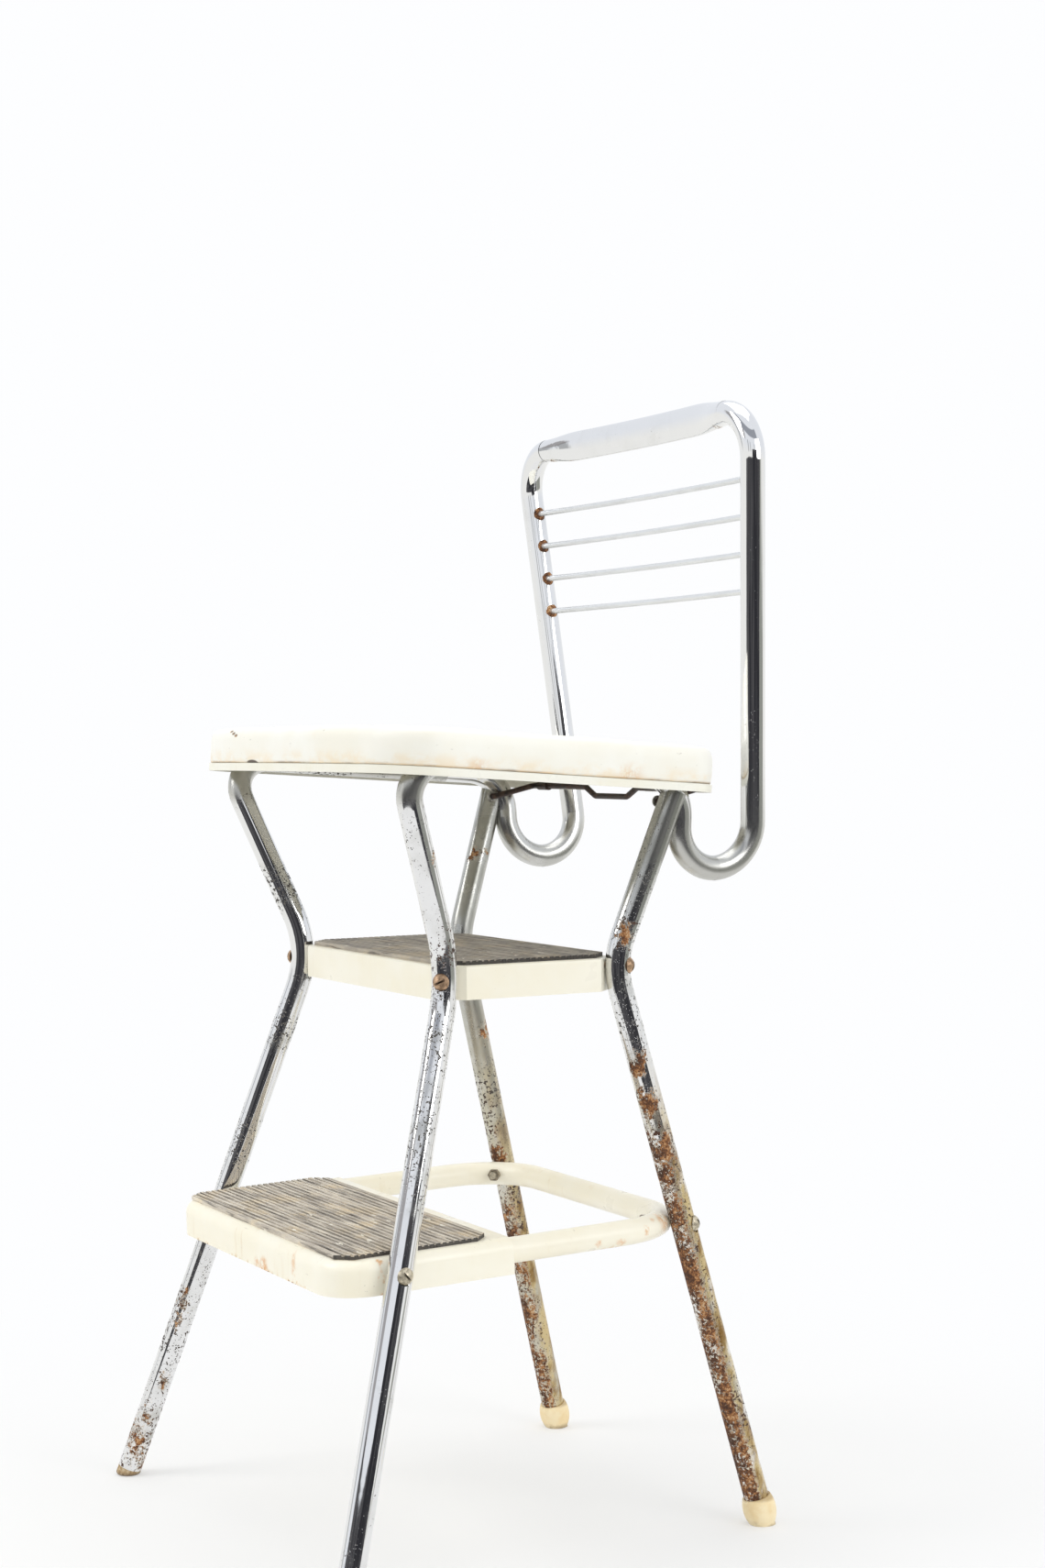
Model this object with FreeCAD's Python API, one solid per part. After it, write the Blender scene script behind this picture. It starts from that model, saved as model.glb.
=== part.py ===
# Step stool chair with a flip-up seat: bent chromed tubes, two bolted steps,
# a padded seat on a floating wire hinge and a hoop backrest with four rods.
# Millimetres. Z is up from the floor, +Y is to the back, X is across. The stool is
# symmetrical about X = 0, and the origin is on the floor under the middle of its box.
import FreeCAD, Part
import math
import os

V = FreeCAD.Vector

# Tube of the legs and the backrest
tube_diameter = 19.05
tube_wall = 1.25
tube_bend_radius = 34.0
front_waist_bend_radius = 80.0
rear_waist_bend_radius = 68.0
seat_bend_radius = 24.0
fit_gap = 0.15

# Front legs: foot, waist and front corner of the seat rail, on the +X side
front_foot_x = 212.2
front_foot_y = -193.1
front_waist_x = 124.4
front_waist_y = -63.7
front_waist_z = 431.0
front_corner_x = 164.0
front_corner_y = -121.1
front_tube_end_z = 6.0

# Rear legs, on the +X side
rear_foot_x = 160.6
rear_foot_y = 183.5
rear_waist_x = 128.1
rear_waist_y = 73.6
rear_waist_rise = 1.0
rear_top_inset = 19.7
rear_top_y = 117.8
rear_top_z = 561.0
rear_tube_end_z = 5.0

# Backrest hoop, on the +X side
hoop_height = 848.6
hoop_seat_inset = 12.1
hoop_corner_y = 170.1
hoop_foot_gap = 0.98
hoop_foot_y = 195.1
hoop_foot_z = 501.0
hoop_limb_gap = 8.48
hoop_limb_top_y = 125.9
hoop_tail = 20.0
flat_rail_height = 25.0
flat_rail_thickness = 9.4
flat_rail_bow = 7.0
flat_rail_blend = 46.0
flat_rail_stations = 9
flat_rail_straight = 2.0

# Plug of the hoop's tail in the rail, and its screw
plug_length = 38.0
plug_wall = 1.3
plug_overlap = 5.0
rail_screw_inset = 16.0

# Backrest rods
rod_diameter = 4.8
rod_count = 4
rod_first_drop = 51.8
rod_pitch = 28.23
rod_bow = 7.0
rod_wall_entry = 5.0

# Seat: a tray on the rails, sloping down to the back
seat_slope_deg = 3.8
seat_rim_z = 568.9
seat_half_width_front = 189.0
seat_half_width_rear = 165.0
seat_front_y = -136.1
seat_rear_y = 155.9
seat_front_bow = 8.0
seat_corner_radius = 42.0
rim_height = 6.0
rim_ledge = 2.6
pan_height = 22.0
sheet = 1.0
seat_pad_height = 33.0
cover_thickness = 1.2
cover_bulge = 1.8
cover_top_round = 7.0
cover_round_steps = 4
cover_crown = 3.5
cover_crown_reach = 90.0
cover_draw_in = 1.0
soft_gap = 0.3
rail_pad = 0.3

# Wire hinge of the seat
wire_diameter = 4.8
wire_pivot_y = 110.4
wire_pivot_z = 553.0
wire_bar_y = 148.3
wire_bar_z = 561.6
wire_arm_gap = 5.3
wire_leg_entry = 5.0
wire_bend_radius = 3.6
wire_dip_depth = 7.4
wire_dip_bottom = 25.0
wire_dip_top = 41.0
wire_dip_bend = 8.0
dip_notch_margin = 6.0
wire_clearance = 0.08
washer_diameter = 9.0
washer_thickness = 1.2
washer_clearance = 0.3

# Clips of the wire, on the back skirt of the seat tray
clip_width = 16.0
clip_corner_gap = 4.0
clip_sheet = 1.2
clip_flange_height = 9.0
clip_rivet_share = 0.55
clip_flange_overlap = 0.2
rivet_diameter = 3.2
rivet_head_diameter = 6.0
rivet_head_height = 1.3

# Upper step
upper_step_rise = 5.2
upper_step_overhang = 2.3
upper_step_skirt = 25.0
upper_mat_inset = 5.0
mat_thickness = 3.0
mat_rib_pitch = 5.0
mat_rib_width = 3.2
mat_rib_height = 0.8

# Lower step
lower_step_z = 236.0
lower_step_slope_deg = 1.8
lower_step_front_y = -171.1
lower_step_back_y = -28.5
lower_step_skirt = 26.0
lower_step_corner = 32.0
lower_step_round = 9.0
lower_mat_inset = 8.0
lower_mat_back_gap = 14.0
lower_mat_corner = 11.0
loop_diameter = 19.05
loop_wall = 1.25
loop_butt_gap = 0.5

# Screws of the steps
screw_diameter = 6.0
screw_head_diameter = 12.6
screw_head_height = 4.2
screw_slot_width = 1.5
screw_slot_depth = 1.5
screw_seat_depth = 0.9
screw_tip = 2.5
nut_flats = 9.0
nut_thickness = 4.0
hole_clearance = 0.2
upper_front_screw_drop = 5.0
upper_rear_screw_drop = 1.4
upper_front_slot_turn = 70
upper_rear_slot_turn = 20
lower_front_slot_turn = 40
lower_rear_slot_turn = 75

# Small screws of the rail joint
rail_screw_diameter = 4.0
rail_screw_head_diameter = 7.5
rail_screw_head_height = 2.4

# Feet
foot_cap_diameter = 25.0
foot_cap_height = 22.0
foot_cap_mouth_diameter = 21.8
foot_tip_round = 2.5
foot_tip_stem = 14.0

tube_radius = tube_diameter / 2
tube_bore = tube_radius - tube_wall
loop_radius = loop_diameter / 2
wire_radius = wire_diameter / 2
rod_radius = rod_diameter / 2
screw_radius = screw_diameter / 2
rear_top_x = seat_half_width_rear - rear_top_inset
clip_x = seat_half_width_rear - seat_corner_radius - clip_corner_gap - clip_width / 2
seat_slope = math.tan(math.radians(seat_slope_deg))
rail_lift = pan_height - sheet - rail_pad - tube_radius


def rail_z(y):
    """Height of the seat rails' centre line: it runs just under the seat tray."""
    return seat_rim_z + rail_lift / math.cos(math.radians(seat_slope_deg)) - y * seat_slope


upper_step_z = front_waist_z + upper_step_rise
rear_waist_z = front_waist_z + rear_waist_rise
front_foot = V(front_foot_x, front_foot_y, 0)
front_waist = V(front_waist_x, front_waist_y, front_waist_z)
front_corner = V(front_corner_x, front_corner_y, rail_z(front_corner_y))
rear_foot = V(rear_foot_x, rear_foot_y, 0)
rear_waist = V(rear_waist_x, rear_waist_y, rear_waist_z)
rear_top = V(rear_top_x, rear_top_y, rear_top_z)

# Innermost reach of the rear legs beside the wire's washers: the hoop's feet and the wire keep to it
rear_lean = math.atan2(rear_top_x - rear_waist_x, rear_top_z - rear_waist_z)
washer_low_z = wire_pivot_z - washer_diameter / 2
leg_axis_x = rear_top_x - (rear_top_z - washer_low_z) * math.tan(rear_lean)
leg_face_x = leg_axis_x - tube_radius / math.cos(rear_lean)
hoop_foot_x = leg_face_x + hoop_foot_gap
hoop_limb_top_x = leg_face_x + hoop_limb_gap
wire_arm_x = leg_face_x - wire_arm_gap

hoop_corner_x = seat_half_width_front - hoop_seat_inset
hoop_corner = V(hoop_corner_x, hoop_corner_y, hoop_height)
hoop_foot_back = V(hoop_foot_x, hoop_foot_y, hoop_foot_z)
limb_top = V(hoop_limb_top_x, hoop_limb_top_y, rail_z(hoop_limb_top_y))
hoop_foot_front = V(hoop_foot_x, hoop_foot_y - 2 * tube_bend_radius - 1.0, hoop_foot_z)


def along(start, end, distance):
    """Point at a distance from start on the way to end."""
    return start + (end - start).normalize() * distance


def at_height(start, end, z):
    """Point at height z on the line from start to end."""
    return start + (end - start) * ((z - start.z) / (end.z - start.z))


def bend_apex(before, corner, after, radius):
    """Middle of the arc that rounds a corner of a bent tube."""
    back = (before - corner).normalize()
    ahead = (after - corner).normalize()
    half = back.getAngle(ahead) / 2
    return corner + (back + ahead).normalize() * (radius / math.sin(half) - radius)


def bent_path(points, radii):
    """Wire of straight runs joined by tangent arcs, one radius for each inner point."""
    edges = []
    last = points[0]
    for index, radius in enumerate(radii):
        corner = points[index + 1]
        back = (points[index] - corner).normalize()
        ahead = (points[index + 2] - corner).normalize()
        half = back.getAngle(ahead) / 2
        reach = radius / math.tan(half)
        start = corner + back * reach
        end = corner + ahead * reach
        middle = corner + (back + ahead).normalize() * (radius / math.sin(half) - radius)
        if (start - last).Length > 1e-4:
            edges.append(Part.LineSegment(last, start).toShape())
        edges.append(Part.Arc(start, middle, end).toShape())
        last = end
    edges.append(Part.LineSegment(last, points[-1]).toShape())
    return Part.Wire(edges)


def round_bar(path, radius):
    """Solid round bar along a path."""
    first = path.Edges[0]
    centre = first.valueAt(first.FirstParameter)
    heading = first.tangentAt(first.FirstParameter)
    ring = Part.Wire(Part.makeCircle(radius, centre, heading))
    return path.makePipeShell([ring], True, False)


def bent_tube(path, radius, wall):
    """Hollow tube along a path."""
    return round_bar(path, radius).cut(round_bar(path, radius - wall))


def cylinder(start, heading, radius, length):
    return Part.makeCylinder(radius, length, start, heading)


def mirrored(shape):
    """The same piece on the -X side."""
    return shape.mirror(V(0, 0, 0), V(1, 0, 0))


def both_sides(shape):
    return [shape, mirrored(shape)]


def four_corners(front, rear):
    return both_sides(front) + both_sides(rear)


def export(name, *solids):
    shape = solids[0] if len(solids) == 1 else Part.makeCompound(list(solids))
    shape.exportStep("parts/" + name + ".step")


def one_solid(shape):
    return shape.Solids[0] if len(shape.Solids) == 1 else shape


# Screws: each is placed by its axis point in the tube, its outward heading and its reach inwards
front_apex = bend_apex(front_foot, front_waist, front_corner, front_waist_bend_radius)
rear_apex = bend_apex(rear_foot, rear_waist, rear_top, rear_waist_bend_radius)
front_outward = V(1, -1, 0).normalize()
rear_outward = V(1, 1, 0).normalize()
side_outward = V(1, 0, 0)


def slotted_screw(axis_point, outward, grip, slot_turn):
    """Round-head slotted screw. Its head sits on a flat of the tube and its shank runs inwards."""
    bearing = axis_point + outward * (tube_radius - screw_seat_depth)
    head = domed_head(bearing, outward, screw_head_diameter, screw_head_height)
    slot = Part.makeBox(screw_head_diameter * 2, screw_slot_width, screw_slot_depth * 2)
    slot.translate(V(-screw_head_diameter, -screw_slot_width / 2, screw_head_height - screw_slot_depth))
    slot.rotate(V(0, 0, 0), V(0, 0, 1), slot_turn)
    facing = FreeCAD.Placement(bearing, FreeCAD.Rotation(V(0, 0, 1), outward))
    slot.Placement = facing.multiply(slot.Placement)
    length = tube_radius - screw_seat_depth + grip + nut_thickness + screw_tip
    shank = cylinder(bearing, -outward, screw_radius, length)
    return one_solid(head.cut(slot).fuse(shank).removeSplitter())


def domed_head(bearing, outward, diameter, height):
    """Low dome, as a slice of a ball."""
    radius = diameter / 2
    ball = (radius * radius + height * height) / (2 * height)
    sphere = Part.makeSphere(ball, bearing + outward * (height - ball))
    keep = cylinder(bearing, outward, radius + ball, ball * 2)
    return sphere.common(keep)


def screw_hole(axis_point, outward, grip):
    """Clearance hole of a screw through all that it clamps, with the flat under its head."""
    bearing = axis_point + outward * (tube_radius - screw_seat_depth)
    flat = cylinder(bearing, outward, screw_head_diameter / 2 + hole_clearance, tube_diameter / 2)
    reach = tube_radius - screw_seat_depth + grip + nut_thickness + screw_tip + 1.0
    return flat.fuse(cylinder(bearing, -outward, screw_radius + hole_clearance, reach))


def hex_nut(axis_point, outward, grip, gap):
    """Hexagon nut against the inner face of what the screw clamps."""
    face = axis_point - outward * (grip + gap)
    radius = nut_flats / math.sqrt(3)
    corners = []
    for step in range(7):
        turn = math.radians(60 * step)
        corners.append(V(radius * math.cos(turn), radius * math.sin(turn), 0))
    nut = Part.Face(Part.makePolygon(corners)).extrude(V(0, 0, nut_thickness))
    nut = nut.cut(cylinder(V(0, 0, -1), V(0, 0, 1), screw_radius + hole_clearance / 2, nut_thickness + 2))
    level = V(0, 0, 1).cross(outward)
    nut.Placement = FreeCAD.Placement(face, FreeCAD.Rotation(level, V(0, 0, 1), -outward, "ZXY"))
    return nut


# Where each screw sits, and how far from the tube's axis the inner face of its stack lies
upper_grip = tube_radius + fit_gap + sheet
upper_front_point = V(front_apex.x, front_apex.y, front_apex.z - upper_front_screw_drop)
upper_rear_point = V(rear_apex.x, rear_apex.y, rear_apex.z - upper_rear_screw_drop)

# The lower step is drawn level at its height over the front legs, then tilted up to the back
loop_z = lower_step_z - sheet - loop_radius - fit_gap
lower_slope = math.radians(lower_step_slope_deg)
lower_front_leg = at_height(front_foot, front_waist, loop_z)
tilt_y = lower_front_leg.y


def tilted_height(y):
    """Height of the loop's centre plane at y, once the step is tilted."""
    return loop_z + (y - tilt_y) * math.tan(lower_slope)


def lower_placed(shape):
    """Turn a level piece of the lower step about the line between its front screws."""
    shape.rotate(V(0, tilt_y, loop_z), V(1, 0, 0), lower_step_slope_deg)
    return shape


# The loop's sides follow the step's skirts, and its back corners lean on the rear legs
lower_rear_guess = at_height(rear_foot, rear_waist, loop_z)
lower_rear_leg = at_height(rear_foot, rear_waist, tilted_height(lower_rear_guess.y))
front_lean_x = math.atan((front_foot_x - front_waist_x) / front_waist_z)
rear_lean = (rear_waist - rear_foot).getAngle(V(0, 0, 1))
skirt_contact = at_height(front_foot, front_waist, lower_step_z - lower_step_round)
lower_half_width = skirt_contact.x - tube_radius / math.cos(front_lean_x) - 2 * fit_gap
loop_x = lower_half_width - sheet - loop_radius - fit_gap
loop_front_y = lower_step_front_y + sheet + loop_radius + fit_gap
corner_reach = (loop_radius + tube_radius / math.cos(rear_lean) + fit_gap) / math.sqrt(2)
loop_corner_x = lower_rear_leg.x - corner_reach
loop_corner_y = tilt_y + (lower_rear_leg.y - corner_reach - tilt_y) / math.cos(lower_slope)
loop_corner_radius = (loop_x - loop_corner_x) / (1 - math.sqrt(0.5))
loop_back_y = loop_corner_y + (loop_x - loop_corner_x)
loop_front_radius = lower_step_corner - sheet - loop_radius - fit_gap
lower_front_grip = lower_front_leg.x - loop_x + loop_radius
lower_rear_grip = math.hypot(corner_reach, corner_reach) + loop_radius
lower_front_point = lower_front_leg
lower_rear_point = lower_rear_leg


def upper_screw_holes():
    front = screw_hole(upper_front_point, front_outward, upper_grip)
    rear = screw_hole(upper_rear_point, rear_outward, upper_grip)
    return front, rear


def lower_screw_holes():
    front = screw_hole(lower_front_point, side_outward, lower_front_grip)
    rear = screw_hole(lower_rear_point, rear_outward, lower_rear_grip)
    return front, rear


# Tubes of the frame
rail_end = along(limb_top, front_corner, tube_bend_radius + hoop_tail)


def front_leg_path():
    foot = at_height(front_foot, front_waist, front_tube_end_z)
    return bent_path([foot, front_waist, front_corner, rail_end], [front_waist_bend_radius, seat_bend_radius])


def rear_leg_path():
    foot = at_height(rear_foot, rear_waist, rear_tube_end_z)
    return bent_path([foot, rear_waist, rear_top], [rear_waist_bend_radius])


def hoop_path():
    """Right half of the hoop: from the flattened rail down, round the J and into the rail."""
    start = V(flat_rail_end(), hoop_corner_y, hoop_height)
    points = [start, hoop_corner, hoop_foot_back, hoop_foot_front, limb_top, rail_end]
    return bent_path(points, [tube_bend_radius] * 4)


def rod_heights():
    """Heights of the rods' ends, from the top one down."""
    top = hoop_height - rod_first_drop
    return [top - number * rod_pitch for number in range(rod_count)]


def rod_end(height):
    """Point on the axis of the hoop's side at a height."""
    return at_height(hoop_foot_back, hoop_corner, height)


def rod_path(height):
    right = rod_end(height) - V(rod_wall_entry, 0, 0)
    middle = V(0, right.y + rod_bow, height)
    left = V(-right.x, right.y, height)
    return Part.Wire([Part.Arc(left, middle, right).toShape()])


def rail_screw_point():
    return along(rail_end, front_corner, rail_screw_inset)


def rail_side_radius():
    """Reach of the rail's tube across the stool, a little over its radius because it slants."""
    ahead = (front_corner - rail_end).normalize()
    return tube_radius / math.hypot(ahead.y, ahead.z) + rail_screw_head_diameter / 2 * abs(ahead.x)


def rail_screw():
    """Small pan-head screw through the inner walls of rail and plug."""
    bearing = rail_screw_point() - V(rail_side_radius() + fit_gap, 0, 0)
    head = domed_head(bearing, V(-1, 0, 0), rail_screw_head_diameter, rail_screw_head_height)
    shank = cylinder(bearing, V(1, 0, 0), rail_screw_diameter / 2, tube_wall + plug_wall + screw_tip)
    return one_solid(head.fuse(shank))


def rail_screw_hole():
    start = rail_screw_point() - V(tube_diameter, 0, 0)
    return cylinder(start, V(1, 0, 0), rail_screw_diameter / 2 + hole_clearance / 2, tube_diameter)


def wire_hole():
    start = V(wire_arm_x, wire_pivot_y, wire_pivot_z)
    return cylinder(start, V(1, 0, 0), wire_radius + wire_clearance, rear_top_x - wire_arm_x)


def front_leg():
    leg = bent_tube(front_leg_path(), tube_radius, tube_wall)
    leg = leg.cut(upper_screw_holes()[0]).cut(lower_screw_holes()[0])
    return one_solid(leg.cut(rail_screw_hole()))


def rear_leg():
    """Rear leg, its top shaped round the hoop's limb."""
    leg = bent_tube(rear_leg_path(), tube_radius, tube_wall)
    leg = leg.cut(round_bar(hoop_path(), tube_radius + fit_gap))
    leg = leg.cut(upper_screw_holes()[1]).cut(lower_screw_holes()[1])
    return one_solid(leg.cut(wire_hole()))


def flat_rail_end():
    """Half length of the hoop's top between its corner bends."""
    return hoop_corner_x - tube_bend_radius - flat_rail_straight


def oval(x, height, thickness, y):
    """Closed section of the top rail in the plane at x: a circle, or an upright oval."""
    if height - thickness < 1e-6:
        edge = Part.makeCircle(height / 2)
    else:
        edge = Part.Ellipse(V(0, 0, 0), height / 2, thickness / 2).toShape()
    turn = FreeCAD.Rotation(V(0, 0, 1), V(0, 1, 0), V(1, 0, 0), "ZXY")
    edge.Placement = FreeCAD.Placement(V(x, y, hoop_height), turn)
    return Part.Wire(edge)


def flat_rail(inset):
    """Middle of the hoop's top: round at its ends, flattened and bowed back between."""
    reach = flat_rail_end()
    wires = []
    for step in range(-flat_rail_stations, flat_rail_stations + 1):
        x = reach * step / flat_rail_stations
        share = min(1.0, (reach - abs(x)) / flat_rail_blend)
        ease = share * share * (3 - 2 * share)
        height = tube_diameter + (flat_rail_height - tube_diameter) * ease
        thickness = tube_diameter + (flat_rail_thickness - tube_diameter) * ease
        bow = flat_rail_bow * (1 - (x / reach) ** 2)
        wires.append(oval(x, height - 2 * inset, thickness - 2 * inset, hoop_corner_y + bow))
    return Part.makeLoft(wires, True, False)


def without_joints(shape):
    """Faces of a piece of the hoop, apart from the flat ends where its neighbours join on."""
    faces = []
    for face in shape.Faces:
        box = face.BoundBox
        flat = box.XLength < 1e-3 and abs(abs(box.XMax) - flat_rail_end()) < 1e-2
        if not flat:
            faces.append(face)
    return faces


def hoop_bar(inset):
    """The whole hoop as one solid bar: two sides and the flattened top between them."""
    side = round_bar(hoop_path(), tube_radius - inset)
    faces = without_joints(side) + without_joints(mirrored(side)) + without_joints(flat_rail(inset))
    shell = Part.makeShell(faces)
    shell.sewShape()
    bar = Part.makeSolid(shell)
    if bar.Volume < 0:
        bar.reverse()
    return bar


def plug():
    """Reduced end of the hoop's tail, inside the rail."""
    ahead = (front_corner - rail_end).normalize()
    radius = tube_bore - fit_gap / 2
    start = rail_end - ahead * plug_overlap
    body = cylinder(start, ahead, radius, plug_length + plug_overlap)
    collar = cylinder(start, ahead, tube_bore + tube_wall / 2, plug_overlap)
    bore = cylinder(start - ahead, ahead, radius - plug_wall, plug_length + plug_overlap + 2)
    return body.fuse(collar).cut(bore)


def backrest_hoop():
    hoop = hoop_bar(0.0).cut(hoop_bar(tube_wall))
    hoop = hoop.fuse(both_sides(plug()))
    for hole in both_sides(rail_screw_hole()):
        hoop = hoop.cut(hole)
    for height in rod_heights():
        hoop = hoop.cut(round_bar(rod_path(height), rod_radius + fit_gap / 2))
    return one_solid(hoop)


def backrest_rod(height):
    return one_solid(round_bar(rod_path(height), rod_radius))


# Feet
def foot_cap():
    """Bulb-shaped rubber cap round the lower end of a rear leg, cut flat by the floor."""
    up = (rear_waist - rear_foot).normalize()
    outer = foot_cap_diameter / 2
    mouth = foot_cap_mouth_diameter / 2
    base = outer * 0.72
    seat = rear_tube_end_z / up.z
    inner = tube_radius + fit_gap / 2
    below = -outer * 0.4
    profile = [
        Part.LineSegment(V(0, 0, below), V(base, 0, below)).toShape(),
        Part.LineSegment(V(base, 0, below), V(base, 0, 0)).toShape(),
        Part.Arc(V(base, 0, 0), V(outer, 0, foot_cap_height * 0.42), V(mouth, 0, foot_cap_height)).toShape(),
        Part.LineSegment(V(mouth, 0, foot_cap_height), V(inner, 0, foot_cap_height)).toShape(),
        Part.LineSegment(V(inner, 0, foot_cap_height), V(inner, 0, seat)).toShape(),
        Part.LineSegment(V(inner, 0, seat), V(0, 0, seat)).toShape(),
        Part.LineSegment(V(0, 0, seat), V(0, 0, below)).toShape(),
    ]
    cap = Part.Face(Part.Wire(profile)).revolve(V(0, 0, 0), V(0, 0, 1), 360)
    cap.Placement = FreeCAD.Placement(rear_foot, FreeCAD.Rotation(V(0, 0, 1), up))
    return one_solid(cap.cut(below_floor(rear_foot)))


def foot_tip():
    """Slim tip in the lower end of a front leg, flush with the tube and cut flat by the floor."""
    up = (front_waist - front_foot).normalize()
    seat = front_tube_end_z / up.z
    start = front_foot - up * tube_radius
    tip = cylinder(start, up, tube_radius, tube_radius + seat)
    stem = cylinder(front_foot, up, tube_bore - fit_gap / 2, seat + foot_tip_stem)
    tip = tip.fuse(stem).cut(below_floor(front_foot))
    floor_edges = []
    for edge in tip.Edges:
        if edge.BoundBox.ZMax < 1e-4:
            floor_edges.append(edge)
    return one_solid(tip.makeFillet(foot_tip_round, floor_edges))


def below_floor(point):
    size = foot_cap_diameter * 4
    return Part.makeBox(size, size, size, V(point.x - size / 2, point.y - size / 2, -size))


# Upper step: a tray with clipped corners between the four waists
upper_side_x = (front_apex.x + rear_apex.x) / 2 + upper_step_overhang
upper_front_y = front_apex.y - upper_step_overhang
upper_back_y = rear_apex.y + upper_step_overhang


def corner_clip(apex, side_x, end_y):
    """Leg length of the clipped corner whose face just clears the tube at the waist."""
    past_x = side_x - apex.x
    past_y = abs(end_y - apex.y)
    return past_x + past_y + (tube_radius + fit_gap) * math.sqrt(2)


def upper_outline(inset, z):
    """Clipped rectangle of the upper step, drawn in by an inset on every side."""
    clip_front = corner_clip(front_apex, upper_side_x, upper_front_y)
    clip_back = corner_clip(rear_apex, upper_side_x, upper_back_y)
    side = upper_side_x - inset
    front = upper_front_y + inset
    back = upper_back_y - inset
    shave = inset * (2 - math.sqrt(2))
    clip_front -= shave
    clip_back -= shave
    right = [V(side - clip_front, front, z), V(side, front + clip_front, z)]
    right += [V(side, back - clip_back, z), V(side - clip_back, back, z)]
    left = [V(-p.x, p.y, z) for p in reversed(right)]
    return Part.Face(Part.makePolygon(right + left + [right[0]]))


def upper_step_pan():
    bottom = upper_step_z - upper_step_skirt
    outer = upper_outline(0, bottom).extrude(V(0, 0, upper_step_skirt))
    top_edges = []
    for edge in outer.Edges:
        if edge.BoundBox.ZMin > upper_step_z - 1e-4:
            top_edges.append(edge)
    outer = outer.makeFillet(sheet * 2, top_edges)
    inner = upper_outline(sheet, bottom).extrude(V(0, 0, upper_step_skirt - sheet))
    pan = outer.cut(inner)
    for hole in four_corners(*upper_screw_holes()):
        pan = pan.cut(hole)
    return one_solid(pan)


def ribbed(mat, x_reach, y_low, y_high, z):
    """Mat with raised ribs across the step, from front to back."""
    count = int((y_high - y_low - mat_rib_width) / mat_rib_pitch)
    start = (y_low + y_high) / 2 - count * mat_rib_pitch / 2
    width = mat_rib_pitch - mat_rib_width
    grooves = []
    for index in range(count):
        corner = V(-x_reach, start + index * mat_rib_pitch + mat_rib_width / 2, z - mat_rib_height)
        grooves.append(Part.makeBox(2 * x_reach, width, mat_rib_height * 2, corner))
    return one_solid(mat.cut(grooves))


def upper_step_mat():
    face = upper_outline(upper_mat_inset, upper_step_z)
    mat = face.extrude(V(0, 0, mat_thickness))
    front = upper_front_y + upper_mat_inset
    back = upper_back_y - upper_mat_inset
    return ribbed(mat, upper_side_x, front, back, upper_step_z + mat_thickness)


# Lower step: a closed loop of tube with a plate wrapped over its front
def lower_frame_path():
    """Loop of tube whose ends meet under the plate, in the middle of its front."""
    butt = loop_butt_gap / 2
    points = [
        V(butt, loop_front_y, loop_z),
        V(loop_x, loop_front_y, loop_z),
        V(loop_x, loop_back_y, loop_z),
        V(-loop_x, loop_back_y, loop_z),
        V(-loop_x, loop_front_y, loop_z),
        V(-butt, loop_front_y, loop_z),
    ]
    return bent_path(points, [loop_front_radius, loop_corner_radius, loop_corner_radius, loop_front_radius])


def lower_step_frame():
    loop = lower_placed(bent_tube(lower_frame_path(), loop_radius, loop_wall))
    for hole in four_corners(*lower_screw_holes()):
        loop = loop.cut(hole)
    return one_solid(loop)


def plate_block(inset, back_y, bottom):
    """Front part of the step with rounded corners and a rounded top edge."""
    side = lower_half_width - inset
    front = lower_step_front_y + inset
    top = lower_step_z - inset
    block = Part.makeBox(2 * side, back_y - front, top - bottom, V(-side, front, bottom))
    uprights = []
    for edge in block.Edges:
        box = edge.BoundBox
        if box.ZLength > 1 and box.YMax < front + 1e-3:
            uprights.append(edge)
    block = block.makeFillet(lower_step_corner - inset, uprights)
    rounded = []
    for edge in block.Edges:
        box = edge.BoundBox
        if box.ZMin > top - 1e-3 and not (box.YMin > back_y - 1e-3):
            rounded.append(edge)
    return block.makeFillet(lower_step_round - inset, rounded)


def lower_step_plate():
    bottom = lower_step_z - lower_step_skirt
    outer = plate_block(0, lower_step_back_y, bottom)
    inner = plate_block(sheet, lower_step_back_y + 2 * sheet, bottom - sheet)
    plate = lower_placed(outer.cut(inner))
    hole = lower_screw_holes()[0]
    return one_solid(plate.cut(both_sides(hole)))


def lower_step_mat():
    side = lower_half_width - lower_mat_inset
    front = lower_step_front_y + lower_mat_inset
    back = lower_step_back_y - lower_mat_back_gap
    clip = lower_mat_corner
    right = [V(side - clip, front, 0), V(side, front + clip, 0)]
    right += [V(side, back - clip, 0), V(side - clip, back, 0)]
    left = [V(-p.x, p.y, 0) for p in reversed(right)]
    mat = Part.Face(Part.makePolygon(right + left + [right[0]])).extrude(V(0, 0, mat_thickness))
    mat.translate(V(0, 0, lower_step_z))
    return lower_placed(ribbed(mat, side, front, back, lower_step_z + mat_thickness))


# Seat: drawn level with its rim on Z = 0, then tilted and lifted onto the rails
def seat_placed(shape):
    tilt = FreeCAD.Rotation(V(1, 0, 0), -seat_slope_deg)
    shape.Placement = FreeCAD.Placement(V(0, 0, seat_rim_z), tilt).multiply(shape.Placement)
    return shape


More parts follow.
